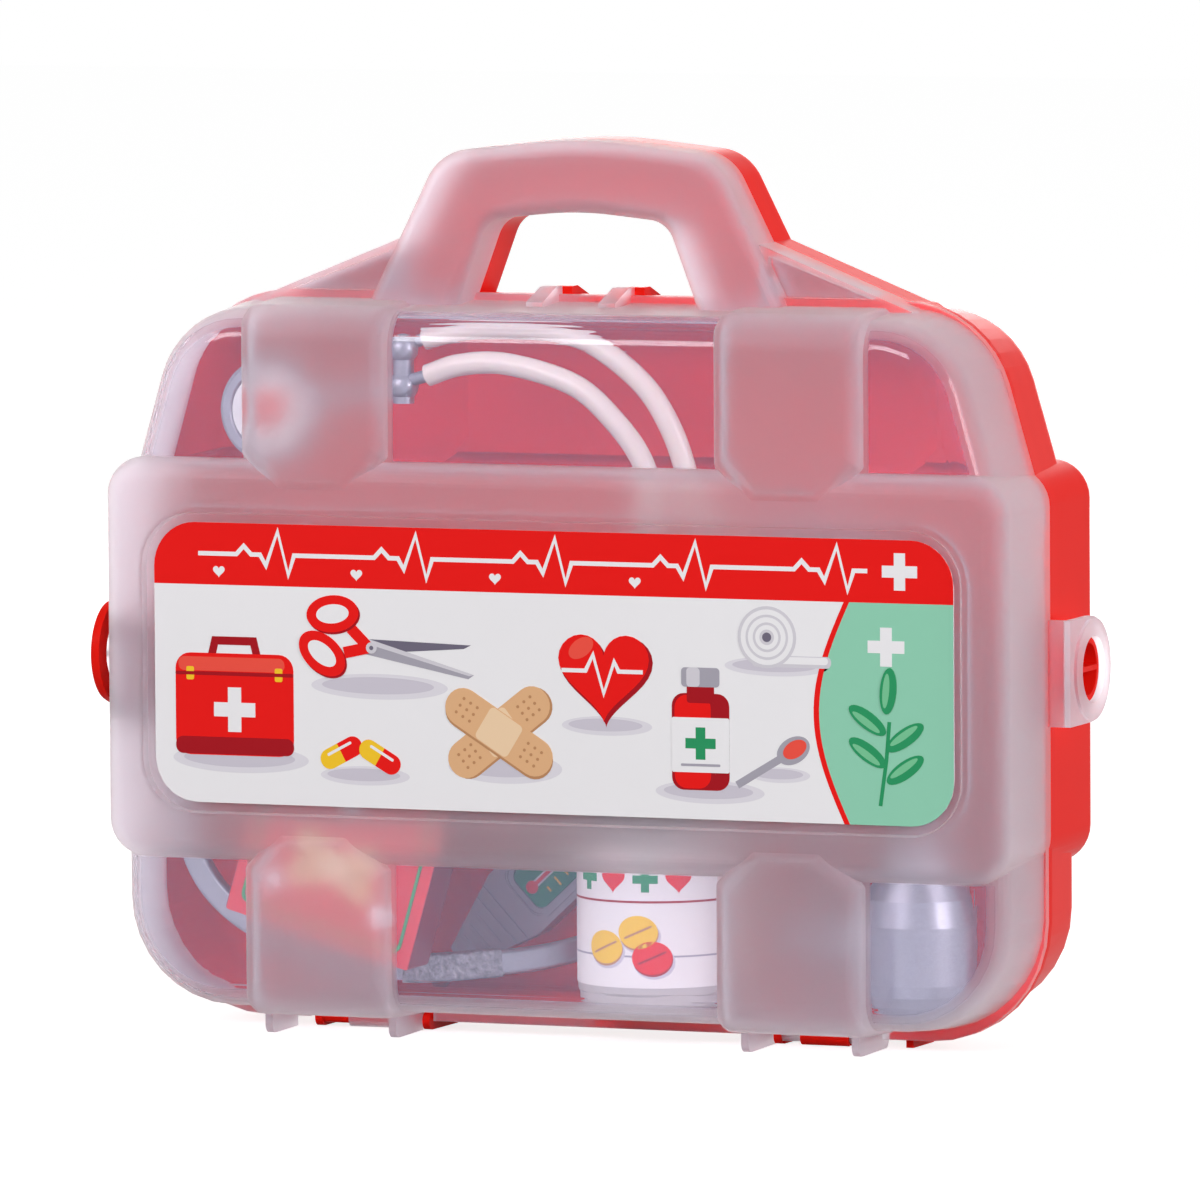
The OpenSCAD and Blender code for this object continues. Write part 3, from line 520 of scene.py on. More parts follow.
def handle():
    """Half of the handle: a channel, open at the parting plane, along the arch."""
    outer, inner = arch(HANDLE_OUTER), arch(HANDLE_INNER)
    turns = 6

    def across(width, skin):
        q, back = HANDLE_EDGE - skin, -(HANDLE_D - HANDLE_EDGE)
        near = [(skin + q * (1 - math.cos(a)), back - q * math.sin(a))
                for a in (math.pi / 2 * k / turns for k in range(turns + 1))]
        far = [(width - s, y) for s, y in reversed(near)]
        return [(skin, 0.0)] + near + far + [(width - skin, 0.0)]

    count = 2 * (2 * turns + 4)
    half = count // 2
    points, faces = [], []
    for o, i in zip(outer, inner):
        width = float(np.linalg.norm(i - o))
        e = (i - o) / width
        ring = across(width, 0) + across(width, WALL)[::-1]
        points += [(o[0] + e[0] * s, y, o[1] + e[1] * s) for s, y in ring]
    last = (len(outer) - 1) * count
    for j in range(half - 1):
        faces.append((j, j + 1, count - 2 - j, count - 1 - j))
        faces.append((last + j, last + count - 1 - j, last + count - 2 - j, last + j + 1))
    for i in range(len(outer) - 1):
        for j in range(count):
            a, b = i * count + j, i * count + (j + 1) % count
            faces.append((a, a + count, b + count, b))
    return piece_from(mesh_from("handle", points, faces))


def gusset(side):
    """Web from the handle's foot down to the shoulder, with a sunk panel on both faces."""
    foot, rise, out = HANDLE_W / 2 - 10, CASE_H + GUSSET_RISE, GUSSET_OUT

    def area(inset):
        base = CASE_H - (0 if inset else 1) + inset
        outline = [(out - inset * 4.6, base), (foot + inset, rise - inset * 1.2), (foot + inset, base)]
        outline = [np.array(p) for p in outline]
        return outline if side > 0 else [np.array((-p[0], p[1])) for p in reversed(outline)]

    body = plate("gusset", area(0), -14, 0)
    return cut(body, plate("gusset_face", area(3), -15, -11), plate("gusset_back", area(3), -9, 1))


def flange():
    """Flat rim at the parting plane, notched where the other half's hinge passes."""
    outline = rounded(mirrored([(SIDE_X + 0.3, LIP_Z, CORNER_R + 2), (SIDE_X + 0.3, LEAN_Z - 9, 20),
                                (SIDE_X - LEAN_IN + 0.6, CASE_H + LIP_TOP, TOP_R + 4)]))
    body = plate("flange", outline, -FLANGE_T, 0)
    cut(body, plate("flange_hole", rounded(TUB, WALL), -FLANGE_T - 1, 1))
    notch_z = AXIS_Z + KNUCKLE_R + CLEAR * 2
    spans = [(-FIN_OUT - FIN_T - CLEAR, -FIN_IN + FIN_T + CLEAR),
             ((FIN_IN + FIN_OUT - CLIP_W) / 2 - 2 * CLEAR, (FIN_IN + FIN_OUT + CLIP_W) / 2 + 2 * CLEAR),
             (FIN_EYE - FIN_T / 2 - CLEAR, FIN_EYE + FIN_T / 2 + CLEAR)]
    for x0, x1 in spans:
        cut(body, block("notch", -FLANGE_T - 1, 1, LIP_Z - 1, notch_z, (x0 + x1) / 2, x1 - x0))
    return body


def fin(x, at_hinge):
    """A foot fin: rounded toe in front, round end at the hinge."""
    toe_r = 3
    toe = [(-FIN_Y + toe_r + toe_r * math.cos(a), toe_r + toe_r * math.sin(a))
           for a in np.linspace(math.pi, 1.5 * math.pi, 8)]
    root = TUB_Z + WALL / 2
    if at_hinge:
        end = [(KNUCKLE_R * math.cos(a), AXIS_Z + KNUCKLE_R * math.sin(a))
               for a in np.linspace(-0.5 * math.pi, 0.5 * math.pi, 14)]
        end.append((0, root))
    else:
        end = [(-FLANGE_T, AXIS_Z - KNUCKLE_R), (-FLANGE_T, root)]
    return rib("fin", toe + end + [(-FIN_Y, root)], x, FIN_T)


def hinge_hole(x, width):
    """Bore for the rod, and the slot below it through which the rod snaps in."""
    bore = cylinder("bore", ROD_R + ROD_GAP, x - width, x + width, 0, AXIS_Z, 48)
    mouth = block("mouth", -MOUTH_W / 2, MOUTH_W / 2, -1, AXIS_Z, x, 2 * width)
    return [bore, mouth]


def clip():
    """Snap clip that holds the other half's rod."""
    x = -(FIN_IN + FIN_OUT) / 2
    root = TUB_Z + WALL / 2
    body = cylinder("clip", KNUCKLE_R, x - CLIP_W / 2, x + CLIP_W / 2, 0, AXIS_Z)
    add(body, block("clip_arm", -KNUCKLE_R, -CLEAR, AXIS_Z, root, x, CLIP_W))
    return cut(body, *hinge_hole(x, CLIP_W))


def latch_seats():
    """Shelf that this half's latch hangs on, and the hollow stud that the other half's ring drops over."""
    shelf = block("shelf", -LATCH_T, 0, LATCH_Z - RING_R, LATCH_Z + RING_R,
                  (SIDE_X - 1 + LATCH_X - CLEAR) / 2, LATCH_X - CLEAR - SIDE_X + 1)
    end, radius = LATCH_X + STUD_IN, RING_HOLE - STUD_GAP
    stud = cylinder("stud", radius, -end, -SIDE_X, -LATCH_Y, LATCH_Z)
    hollow = cylinder("stud_hollow", radius - STUD_WALL, -end - 1, -SIDE_X - BAND_SIDE, -LATCH_Y, LATCH_Z)
    web = block("stud_web", -LATCH_Y - radius, -LATCH_Y + radius,
                LATCH_Z - STUD_WEB / 2, LATCH_Z + STUD_WEB / 2, -end, 2 * end)
    cut(hollow, web)
    return [shelf, cut(stud, hollow)]


def top_lugs():
    """Two lugs that pass between the other half's two."""
    outline = [(0, CASE_H - 1), (0, CASE_H + 4.5), (-5, CASE_H + 4.5), (-17, CASE_H + 0.4), (-17, CASE_H - 1)]
    return [rib("lug", outline, x, 5.5) for x in (-13.7, 10.5)]


def half_shell():
    """The whole moulding, of which the case has two."""
    body = moulded_tray()
    add(body, flange(), handle(), gusset(1), gusset(-1), *top_lugs())
    add(body, fin(FIN_IN, True), fin(FIN_OUT, True), cut(fin(-FIN_EYE, True), *hinge_hole(-FIN_EYE, FIN_T)),
        fin(-FIN_FOOT, False), cylinder("rod", ROD_R, FIN_IN, FIN_OUT, 0, AXIS_Z), clip())
    return add(body, *latch_seats())


# ---------------------------------------------------------------- shell materials


def chain(nodes, links):
    """Short way to write shader arithmetic: op(kind, a, b) gives the step's output."""

    def op(kind, *values):
        step = node(nodes, "ShaderNodeMath", operation=kind)
        for socket, value in zip(step.inputs, values):
            feed(links, socket, value)
        return step.outputs[0]

    return op


def ramp(nodes, links, value, low, high):
    """0 at low, 1 at high, smoothly."""
    step = node(nodes, "ShaderNodeMapRange", interpolation_type="SMOOTHSTEP")
    step.inputs["From Min"].default_value = low
    step.inputs["From Max"].default_value = high
    links.new(value, step.inputs["Value"])
    return step.outputs["Result"]


WINDOW_EDGE = 0.3                            # width over which polish gives way to frosting
FACE_FROM, FACE_TO = -33.0, -34.2            # Y at which the face's rounding ends
OVER_X, OVER_Y, OVER_Z = (56, 55), (-28.5, -30), (198, 204)      # the top window's bend, between the straps
HANDLE_LINE = (CASE_H + 0.6, CASE_H + 0.3)


def polished_mask(nodes, links):
    """1 in the polished windows, 0 on the frosted straps, band, handle, gussets and side walls."""
    place = node(nodes, "ShaderNodeTexCoord")
    parts = node(nodes, "ShaderNodeSeparateXYZ")
    links.new(place.outputs["Object"], parts.inputs["Vector"])
    op = chain(nodes, links)
    x, y, z = op("ABSOLUTE", parts.outputs["X"]), parts.outputs["Y"], parts.outputs["Z"]

    def rise(value, low, high):
        return ramp(nodes, links, value, low * MM, high * MM)

    inner, outer = STRAP_X - STRAP_W / 2, STRAP_X + STRAP_W / 2
    beside = op("ADD", rise(x, inner, inner - WINDOW_EDGE), rise(x, outer, outer + WINDOW_EDGE))
    above = rise(z, BAND_Z1, BAND_Z1 + WINDOW_EDGE)
    below = rise(z, BAND_Z0, BAND_Z0 - WINDOW_EDGE)
    under_handle = rise(z, *HANDLE_LINE)
    in_front = rise(y, FACE_FROM, FACE_TO)
    between_straps = op("MULTIPLY", rise(x, *OVER_X), rise(z, *OVER_Z))
    over_the_top = op("MULTIPLY", rise(y, *OVER_Y), between_straps)
    windows = op("MULTIPLY", beside, op("ADD", above, below))
    return op("MULTIPLY", op("MULTIPLY", windows, op("MAXIMUM", in_front, over_the_top)), under_handle)


# Each pair is for the frosted parts, then for the polished windows.
SHELL_CLEAR = (0.87, 0.86, 0.89), (0.92, 0.90, 0.94)
SHELL_ROUGH = 0.62, 0.03
SHELL_GRAIN = 0.3, 0.02
HAZE_FACING, HAZE_EDGE_ON = (0.2, 0.075), (0.42, 0.3)
HAZE_THIN = (0.46, 0.40, 0.48), (0.38, 0.48, 0.84)
HAZE_DEEP = (0.74, 0.66, 0.65)


def clear_shell_material(name, everywhere_frosted=False):
    """Milky polypropylene: blurred light passes through, and a little bluish haze scatters from it."""
    material, nodes, links, glass = new_material(name)
    mask = None if everywhere_frosted else polished_mask(nodes, links)
    set_sockets(glass, IOR=1.4, Transmission_Weight=1.0)
    haze = node(nodes, "ShaderNodeBsdfPrincipled")
    set_sockets(haze, Roughness=0.45, IOR=1.46, Specular_IOR_Level=0.2)

    def between(frosted, clear):
        """A number that differs between the frosted parts and the windows."""
        if everywhere_frosted:
            return frosted
        step = node(nodes, "ShaderNodeMapRange")
        step.inputs["To Min"].default_value = frosted
        step.inputs["To Max"].default_value = clear
        links.new(mask, step.inputs["Value"])
        return step.outputs["Result"]

    def blended(frosted, clear):
        """The same for a colour."""
        if everywhere_frosted:
            return (*frosted, 1)
        step = node(nodes, "ShaderNodeMix", data_type="RGBA")
        step.inputs["A"].default_value = (*frosted, 1)
        step.inputs["B"].default_value = (*clear, 1)
        links.new(between(0, 1), step.inputs["Factor"])
        return step.outputs["Result"]

    feed(links, glass.inputs["Base Color"], blended(*SHELL_CLEAR))
    feed(links, glass.inputs["Roughness"], between(*SHELL_ROUGH))
    grain = node(nodes, "ShaderNodeTexNoise")
    grain.inputs["Scale"].default_value = 1100
    place = node(nodes, "ShaderNodeTexCoord")
    links.new(place.outputs["Object"], grain.inputs["Vector"])
    for shader in (glass, haze):
        bump = node(nodes, "ShaderNodeBump")
        bump.inputs["Distance"].default_value = 0.00003
        feed(links, bump.inputs["Strength"], between(*SHELL_GRAIN))
        links.new(grain.outputs["Fac"], bump.inputs["Height"])
        links.new(bump.outputs["Normal"], shader.inputs["Normal"])
    milky = node(nodes, "ShaderNodeMixShader")
    op = chain(nodes, links)
    edge_on = node(nodes, "ShaderNodeLayerWeight")
    edge_on.inputs["Blend"].default_value = 0.5
    deeper = op("POWER", edge_on.outputs["Facing"], 2.5)
    share = op("ADD", between(*HAZE_FACING), op("MULTIPLY", deeper, between(*HAZE_EDGE_ON)))
    links.new(share, milky.inputs["Fac"])
    # A thin polished wall scatters blue, and a deep or frosted one scatters everything.
    cloud = node(nodes, "ShaderNodeTexNoise")
    cloud.inputs["Scale"].default_value = 14
    links.new(place.outputs["Object"], cloud.inputs["Vector"])
    depth = op("ADD", deeper, op("MULTIPLY", op("SUBTRACT", cloud.outputs["Fac"], 0.5), 0.12))
    tint = node(nodes, "ShaderNodeMix", data_type="RGBA", clamp_factor=True)
    feed(links, tint.inputs["A"], blended(*HAZE_THIN))
    tint.inputs["B"].default_value = (*HAZE_DEEP, 1)
    links.new(depth, tint.inputs["Factor"])
    links.new(tint.outputs["Result"], haze.inputs["Base Color"])
    links.new(glass.outputs[0], milky.inputs[1])
    links.new(haze.outputs[0], milky.inputs[2])
    lit_through(nodes, links, milky, (0.84, 0.80, 0.82))
    return material


FROSTED = clear_shell_material("frosted_polypropylene")
FROSTED_LATCH = clear_shell_material("frosted_latch", everywhere_frosted=True)
# The IOR is below real plastic's 1.5, because at that the white room's reflection washes out the red.
RED = moulded_plastic("red_polypropylene", srgb(238, 30, 20), roughness=0.3, grain=2400, depth=0.000003,
                      spread=0.03, IOR=1.08)

front = half_shell()
front.name = "front_shell_moulding"
rear = piece_from(front.data.copy(), "rear_shell_moulding")
rear.data.transform(Matrix.Rotation(math.pi, 4, "Z"))
settle(front, "lid", FROSTED, replaces=("front_shell",))
settle(rear, "rear", RED, replaces=("rear_shell",))


def latch(name, material, body, replaced, turned=False):
    """Latch strap with its ring, on a round living hinge."""
    profile = [(-LATCH_T, LATCH_Z - RING_R), (LATCH_Y, LATCH_Z - RING_R)]
    profile += [(LATCH_Y + RING_R * math.cos(a), LATCH_Z + RING_R * math.sin(a))
                for a in np.linspace(-math.pi / 2, math.pi / 2, 40)[1:-1]]
    profile += [(LATCH_Y, LATCH_Z + RING_R), (-LATCH_T, LATCH_Z + RING_R)]
    made = rib(name, profile, LATCH_X + LATCH_T / 2, LATCH_T)
    add(made, cylinder("ring", RING_R - 0.6, LATCH_X + 0.1, LATCH_X + LATCH_T + RING_OUT,
                       LATCH_Y, LATCH_Z, 80))
    cut(made, cylinder("ring_hole", RING_HOLE, LATCH_X - 1, LATCH_X + 9, LATCH_Y, LATCH_Z, 80))
    if turned:
        made.data.transform(Matrix.Rotation(math.pi, 4, "Z"))
    return settle(made, body, material, bevel=0.5, replaces=(replaced,))


latch("front_latch_strap", FROSTED_LATCH, "front_latch", "front_latch")
latch("rear_latch_strap", RED, "rear_latch", "rear_latch", turned=True)

# ---------------------------------------------------------------- printed label

LABEL_FACE = LABEL_Y - LABEL_T
INK_STEP = 0.02                              # each shape of a motif lies this far in front of the last
CROSS_ARM = 0.32                             # width of a cross's arms as a share of its size


def film(name, colour, roughness=0.28):
    """Glossy printed film, with the slight unevenness of ink."""
    return moulded_plastic(name, colour, roughness=roughness, grain=420, depth=0.000012, spread=0.018,
                           Specular_IOR_Level=0.06)


INKS = {
    "white": film("ink_white", srgb(240, 238, 241)),
    "red": film("ink_red", srgb(238, 28, 26)),
    "deep_red": film("ink_deep_red", srgb(168, 24, 34)),
    "mint": film("ink_mint", srgb(146, 208, 180)),
    "green": film("ink_green", srgb(46, 150, 98)),
    "tan": film("ink_tan", srgb(226, 178, 134)),
    "sand": film("ink_sand", srgb(240, 208, 172)),
    "silver": film("ink_silver", srgb(168, 164, 176)),
    "pale_silver": film("ink_pale_silver", srgb(212, 208, 216)),
    "steel": film("ink_steel", srgb(112, 106, 124)),
    "yellow": film("ink_yellow", srgb(248, 200, 48)),
    "shadow": film("ink_shadow", srgb(206, 200, 212)),
    "faint_shadow": film("ink_faint_shadow", srgb(224, 220, 228)),
    "bright_red": film("ink_bright_red", srgb(240, 84, 70)),
    "deep_tan": film("ink_deep_tan", srgb(190, 138, 98)),
    "pale_green": film("ink_pale_green", srgb(120, 196, 150)),
}


def moved(points, x, z, turn=0):
    """Points turned by degrees, then moved to x, z."""
    c, s = math.cos(math.radians(turn)), math.sin(math.radians(turn))
    return [(x + p[0] * c - p[1] * s, z + p[0] * s + p[1] * c) for p in points]


class Print:
    """Flat shapes in X and Z, each a thin closed layer in front of the one before."""

    def __init__(self, name, face_y):
        self.name, self.y, self.layer = name, face_y, 0
        self.points, self.faces, self.colours = [], [], []

    def start(self, layer=1):
        """Begins a motif, whose first shape lies in this layer."""
        self.layer = layer

    def shape(self, colour, outline):
        """Prints one outline, in front of the shapes before it."""
        front = self.y - INK_STEP * self.layer
        self.layer += 1
        start, count = len(self.points), len(outline)
        self.points += [(p[0], self.y + INK_STEP, p[1]) for p in outline]
        self.points += [(p[0], front, p[1]) for p in outline]
        self.faces.append(tuple(range(start + count - 1, start - 1, -1)))
        self.faces.append(tuple(range(start + count, start + 2 * count)))
        for i in range(count):
            j = (i + 1) % count
            self.faces.append((start + i, start + j, start + count + j, start + count + i))
        self.colours += [colour] * (count + 2)

    def disc(self, colour, x, z, rx, rz=None, turn=0, steps=40):
        rz = rz or rx
        turns = np.linspace(0, 2 * math.pi, steps, endpoint=False)
        ring = [(rx * math.cos(a), rz * math.sin(a)) for a in turns]
        self.shape(colour, moved(ring, x, z, turn))

    def dots(self, colour, spots, radius):
        """Small discs that don't touch each other, all in one layer."""
        layer = self.layer
        for x, z in spots:
            self.layer = layer
            self.disc(colour, x, z, radius, steps=12)

    def bar(self, colour, x, z, w, h, r=1.0, turn=0):
        self.shape(colour, moved(rounded(box_corners(-w / 2, w / 2, -h / 2, h / 2, r), 0, 6), x, z, turn))

    def cross(self, colour, x, z, size, turn=0):
        half, arm = size / 2, size * CROSS_ARM / 2
        corners = [(half, -arm), (half, arm), (arm, arm), (arm, half), (-arm, half), (-arm, arm),
                   (-half, arm), (-half, -arm), (-arm, -arm), (-arm, -half), (arm, -half), (arm, -arm)]
        self.shape(colour, moved(corners, x, z, turn))

    def stroke(self, colour, line, width):
        """Line of even width, as one strip with mitred corners."""
        p = [np.array(q, float) for q in line]
        left, right = [], []
        for i, q in enumerate(p):
            back = unit(q - p[i - 1]) if i else unit(p[1] - q)
            ahead = unit(p[i + 1] - q) if i < len(p) - 1 else back
            n = unit(np.array((-(back + ahead)[1], (back + ahead)[0])))
            reach = width / 2 / max(0.5, float(n @ np.array((-ahead[1], ahead[0]))))
            left.append(q + n * reach)
            right.append(q - n * reach)
        self.shape(colour, right + left[::-1])

    def heart(self, colour, x, z, size, turn=0):
        ring = [(size / 34 * 16 * math.sin(a) ** 3,
                 size / 34 * (13 * math.cos(a) - 5 * math.cos(2 * a) - 2 * math.cos(3 * a) - math.cos(4 * a)))
                for a in np.linspace(2 * math.pi, 0, 48, endpoint=False)]
        self.shape(colour, moved(ring, x, z, turn))

    def make(self, body):
        """Turns all the shapes into one piece with a material for each ink."""
        mesh = mesh_from(self.name, self.points, self.faces)
        names = sorted(set(self.colours))
        for n in names:
            mesh.materials.append(INKS[n])
        for face, colour in zip(mesh.polygons, self.colours):
            face.material_index = names.index(colour)
        piece = piece_from(mesh)
        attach(piece, body)
        return piece


HEADER_H, HEADER_START = 19.5, 15.0
PANEL_W, PANEL_BOW, PANEL_EDGE = 34.0, 10.0, 1.8
BEAT_PITCH = 46.5
BEAT = [(0, 0), (13, 0), (15.5, 2.6), (18, 0), (21, 0), (23, -3.4), (27, 7.4), (30.5, -6.2), (32.5, 0)]


def header_and_panel(art):
    """Red header with a pulse line, and a mint panel with a red edge at the right end."""
    top, foot = LABEL_Z + LABEL_H / 2, LABEL_Z - LABEL_H / 2
    left, right = -LABEL_W / 2, LABEL_W / 2
    low = top - HEADER_H
    corner = rounded(box_corners(left, right, foot, top, LABEL_R), 0, 10)
    edge = [(right - PANEL_W - PANEL_BOW * math.sin(t * math.pi), low - t * (low - foot))
            for t in np.linspace(0, 1, 24)]
    foot_corner = [tuple(p) for p in corner if p[0] > right - LABEL_R - 0.01 and p[1] < foot + LABEL_R + 0.01]
    art.start()
    art.shape("mint", edge + foot_corner + [(right, low)])
    art.shape("red", [(x - PANEL_EDGE, z) for x, z in edge] + edge[::-1])
    art.start()
    art.shape("red", [tuple(p) for p in corner if p[1] > low] + [(left, low), (right, low)])
    middle = top - HEADER_H / 2
    x, line = left + HEADER_START, []
    while x < right - 46:
        line += [(x + dx, middle + dz) for dx, dz in BEAT]
        x += BEAT_PITCH
    art.stroke("white", line + [(right - 28, middle)], 1.4)
    for k in range(4):
        art.start(3)
        art.heart("white", left + 22 + BEAT_PITCH * k, middle - 5.4, 4.2)
    art.start(3)
    art.cross("white", right - 17.5, middle, 11.5)


def soft_shadow(art, x, z, rx, rz):
    """Pale shadow under a motif."""
    art.start()
    art.disc("faint_shadow", x, z, rx, rz)
    art.disc("shadow", x - 0.5, z + 0.3, rx * 0.82, rz * 0.66)


def first_aid_bag(art, x, z):
    soft_shadow(art, x + 2, z - 17, 23, 4.4)
    art.stroke("deep_red", [(x - 8, z + 14), (x - 6.5, z + 20), (x + 6.5, z + 20), (x + 8, z + 14)], 2.6)
    art.bar("red", x, z, 40, 32, 5)
    art.bar("bright_red", x - 1, z + 12.6, 36, 4.4, 2)
    art.bar("deep_red", x, z - 13, 40, 5.4, 2.4)
    art.bar("deep_red", x, z + 9.6, 40, 1.1, 0.5)
    art.cross("white", x, z - 1.6, 14)
    for side in (-1, 1):
        art.start(6)
        art.bar("yellow", x + side * 15, z + 9.6, 2.6, 4.2, 0.6)


def plasters(art, x, z):
    """Two crossed plasters with rows of air holes."""
    soft_shadow(art, x + 2, z - 11, 19, 5)
    for turn in (38, -32):
        art.bar("deep_tan", *moved([(0.5, -0.7)], x, z, turn)[0], 40, 12, 5.9, turn)
        art.bar("tan", x, z, 40, 12, 5.9, turn)
        art.bar("sand", x, z, 12.5, 11.4, 1.5, turn)
        holes = [(side * (10 + 2.6 * i), 2.5 * j) for side in (-1, 1) for i in range(3) for j in (-1, 0, 1)]
        art.dots("deep_tan", moved(holes, x, z, turn), 0.5)


def scissors(art, x, z, turn):
    def at(points):
        return moved(points, x, z, turn)

    soft_shadow(art, x + 3, z - 12, 23, 4)
    art.shape("steel", at([(-2, -2.5), (30, 9.2), (32, 11), (-1, 2.6)]))
    art.shape("silver", at([(-2, -2.4), (34, 0.6), (35.5, 2.4), (-1, 2.6)]))
    art.shape("pale_silver", at([(0, 1.0), (34, 1.6), (35.5, 2.4), (-1, 2.6)]))
    for dz, lean in ((6.5, 22), (-6.5, -22)):
        spot = at([(-15, dz)])[0]
        art.stroke("red", at([(-8, dz * 0.62), (-0.5, 0)]), 3.6)
        art.disc("deep_red", spot[0] + 0.5, spot[1] - 0.6, 8.8, 5.8, turn + lean)
        art.disc("red", *spot, 8.8, 5.8, turn + lean)
        art.disc("white", *spot, 5.5, 3.0, turn + lean)
    art.disc("pale_silver", *at([(0.4, 0.2)])[0], 1.8, None, 0, 16)
    art.disc("steel", *at([(0.4, 0.2)])[0], 0.7, None, 0, 12)


def heart_with_pulse(art, x, z):
    soft_shadow(art, x + 1, z - 17, 15, 3)
    art.heart("deep_red", x + 0.8, z - 1, 33)
    art.heart("red", x, z, 32)
    art.disc("bright_red", x - 7.5, z + 7, 4.6, 2.8, 35)
    pulse = [(-14, 0), (-6, 0), (-3.5, 5), (0, -7), (3.5, 3), (5, 0), (13, 0)]
    art.stroke("white", moved(pulse, x, z), 1.3)


def medicine(art, x, z):
    """Red bottle with a white label, and a spoon beside it."""
    soft_shadow(art, x + 3, z - 18.5, 18, 3.6)
    art.bar("deep_red", x, z - 3, 19, 30, 4)
    art.bar("red", x - 2.6, z - 3, 12, 29, 4)
    art.bar("deep_red", x, z + 13, 9, 8, 1)
    art.bar("silver", x, z + 17, 12.6, 6, 1.2)
    art.bar("pale_silver", x - 2.4, z + 17, 4.4, 6, 1.2)
    art.bar("white", x, z - 4, 19, 17, 0.6)
    art.cross("green", x, z - 3.5, 10)
    art.bar("silver", x, z - 10.2, 13, 0.8, 0.3)
    soft_shadow(art, x + 26, z - 12.5, 10, 2.4)
    art.stroke("silver", [(x + 12, z - 16), (x + 27, z - 7)], 2.4)
    art.disc("silver", x + 30.5, z - 4.8, 5.8, 4.0, 30)
    art.disc("bright_red", x + 31, z - 4.4, 4.2, 2.6, 30)


def pills(art, x, z):
    """Two capsules, each half red and half yellow."""
    soft_shadow(art, x + 1, z - 5, 15, 3)
    for dx, dz, turn in ((-7, 2, 28), (6, 1, -30)):
        turns = np.linspace(math.pi / 2, 1.5 * math.pi, 14)
        half = [(-4.4 + 3.1 * math.cos(a), 3.2 * math.sin(a)) for a in turns]
        art.bar("red", x + dx, z + dz, 15, 6.4, 3.1, turn)
        art.shape("yellow", moved([(0, -3.2), (0, 3.2)] + half, x + dx, z + dz, turn))
        art.bar("white", *moved([(0, 1.4)], x + dx, z + dz, turn)[0], 9, 0.9, 0.4, turn)


def bandage_roll(art, x, z):
    soft_shadow(art, x + 3, z - 9, 17, 3)
    art.bar("pale_silver", x + 8, z - 7.4, 26, 3.6, 1.5)
    art.bar("white", x + 8, z - 7.0, 24, 2.2, 1.0)
    for k, radius in enumerate((9.6, 8.6, 7.0, 6.2, 4.6, 3.8, 2.4)):
        art.disc("white" if k % 2 else "pale_silver", x, z, radius)
    art.disc("steel", x, z, 1.5, None, 0, 20)


def leaves(art, x, z):
    """Sprig of five leaves under a white cross, on the mint panel."""
    art.start(4)
    art.cross("white", x, z + 25, 12)
    art.start(4)
    art.stroke("green", [(x - 2, z - 24), (x, z - 10), (x + 1, z + 2)], 1.2)
    for dz, turn in ((-17, 35), (-12, 145), (-7, 35), (-2, 145), (4, 85)):
        reach = moved([(7.5, 0)], x, z + dz, turn)[0]
        art.disc("green", *reach, 7.2, 2.7, turn, 24)
        art.disc("pale_green", *moved([(0, 0.7)], *reach, turn)[0], 5.4, 1.1, turn, 24)


art = Print("label_artwork", LABEL_FACE)
header_and_panel(art)
first_aid_bag(art, -106, LABEL_Z - 13)
scissors(art, -60, LABEL_Z + 6, -16)
pills(art, -63, LABEL_Z - 29)
plasters(art, -17, LABEL_Z - 19)
heart_with_pulse(art, 18, LABEL_Z + 1)
medicine(art, 50, LABEL_Z - 17)
bandage_roll(art, 72, LABEL_Z + 13)
leaves(art, 111, LABEL_Z - 14)
art.make("lid")
finish_node("front_label", INKS["white"])

# ---------------------------------------------------------------- finishes of the contents


def silver_paint(name, colour, roughness=0.3):
    """Silver-grey plastic: fine metal flake under a satin skin."""
    material, nodes, links, shader = new_material(name)
    set_sockets(shader, Metallic=0.75, Roughness=roughness, Coat_Weight=0.2, Coat_Roughness=0.3)
    place = node(nodes, "ShaderNodeTexCoord")
    flake = node(nodes, "ShaderNodeTexVoronoi")
    flake.inputs["Scale"].default_value = 2600
    colours = node(nodes, "ShaderNodeMix", data_type="RGBA")
    colours.inputs["A"].default_value = (*[c * 0.9 for c in colour], 1)
    colours.inputs["B"].default_value = (*[min(1, c * 1.12) for c in colour], 1)
    links.new(place.outputs["Object"], flake.inputs["Vector"])
    links.new(flake.outputs["Color"], colours.inputs["Factor"])
    links.new(colours.outputs["Result"], shader.inputs["Base Color"])
    add_grain(nodes, links, shader, 160, 0.00006)
    return material


def clear_plastic(name, colour, haze=0.15, roughness=0.08):
    """Clear plastic of slightly uneven gloss. haze is the share that doesn't let light through."""
    material, nodes, links, shader = new_material(name)
    set_sockets(shader, Transmission_Weight=1 - haze, IOR=1.46)
    add_mottle(nodes, links, shader, colour, 0.03)
    noise = add_grain(nodes, links, shader, 240, 0.00002)
    rough = node(nodes, "ShaderNodeMapRange")
    rough.inputs["To Min"].default_value = roughness * 0.7
    rough.inputs["To Max"].default_value = roughness * 1.3
    links.new(noise.outputs["Fac"], rough.inputs["Value"])
    links.new(rough.outputs["Result"], shader.inputs["Roughness"])
    lit_through(nodes, links, shader, [0.5 + 0.45 * c for c in colour])
    return material


def board_material(name, colour):
    """Coated carton: faint fibres under a gloss."""
    return moulded_plastic(name, colour, roughness=0.3, grain=140, depth=0.00005, spread=0.05,
                           Coat_Weight=0.3, Coat_Roughness=0.15)


BOX_AT, BOX_W, BOX_LEAN = (-51.6, -32.0, 22.5), 64.0, 16.0


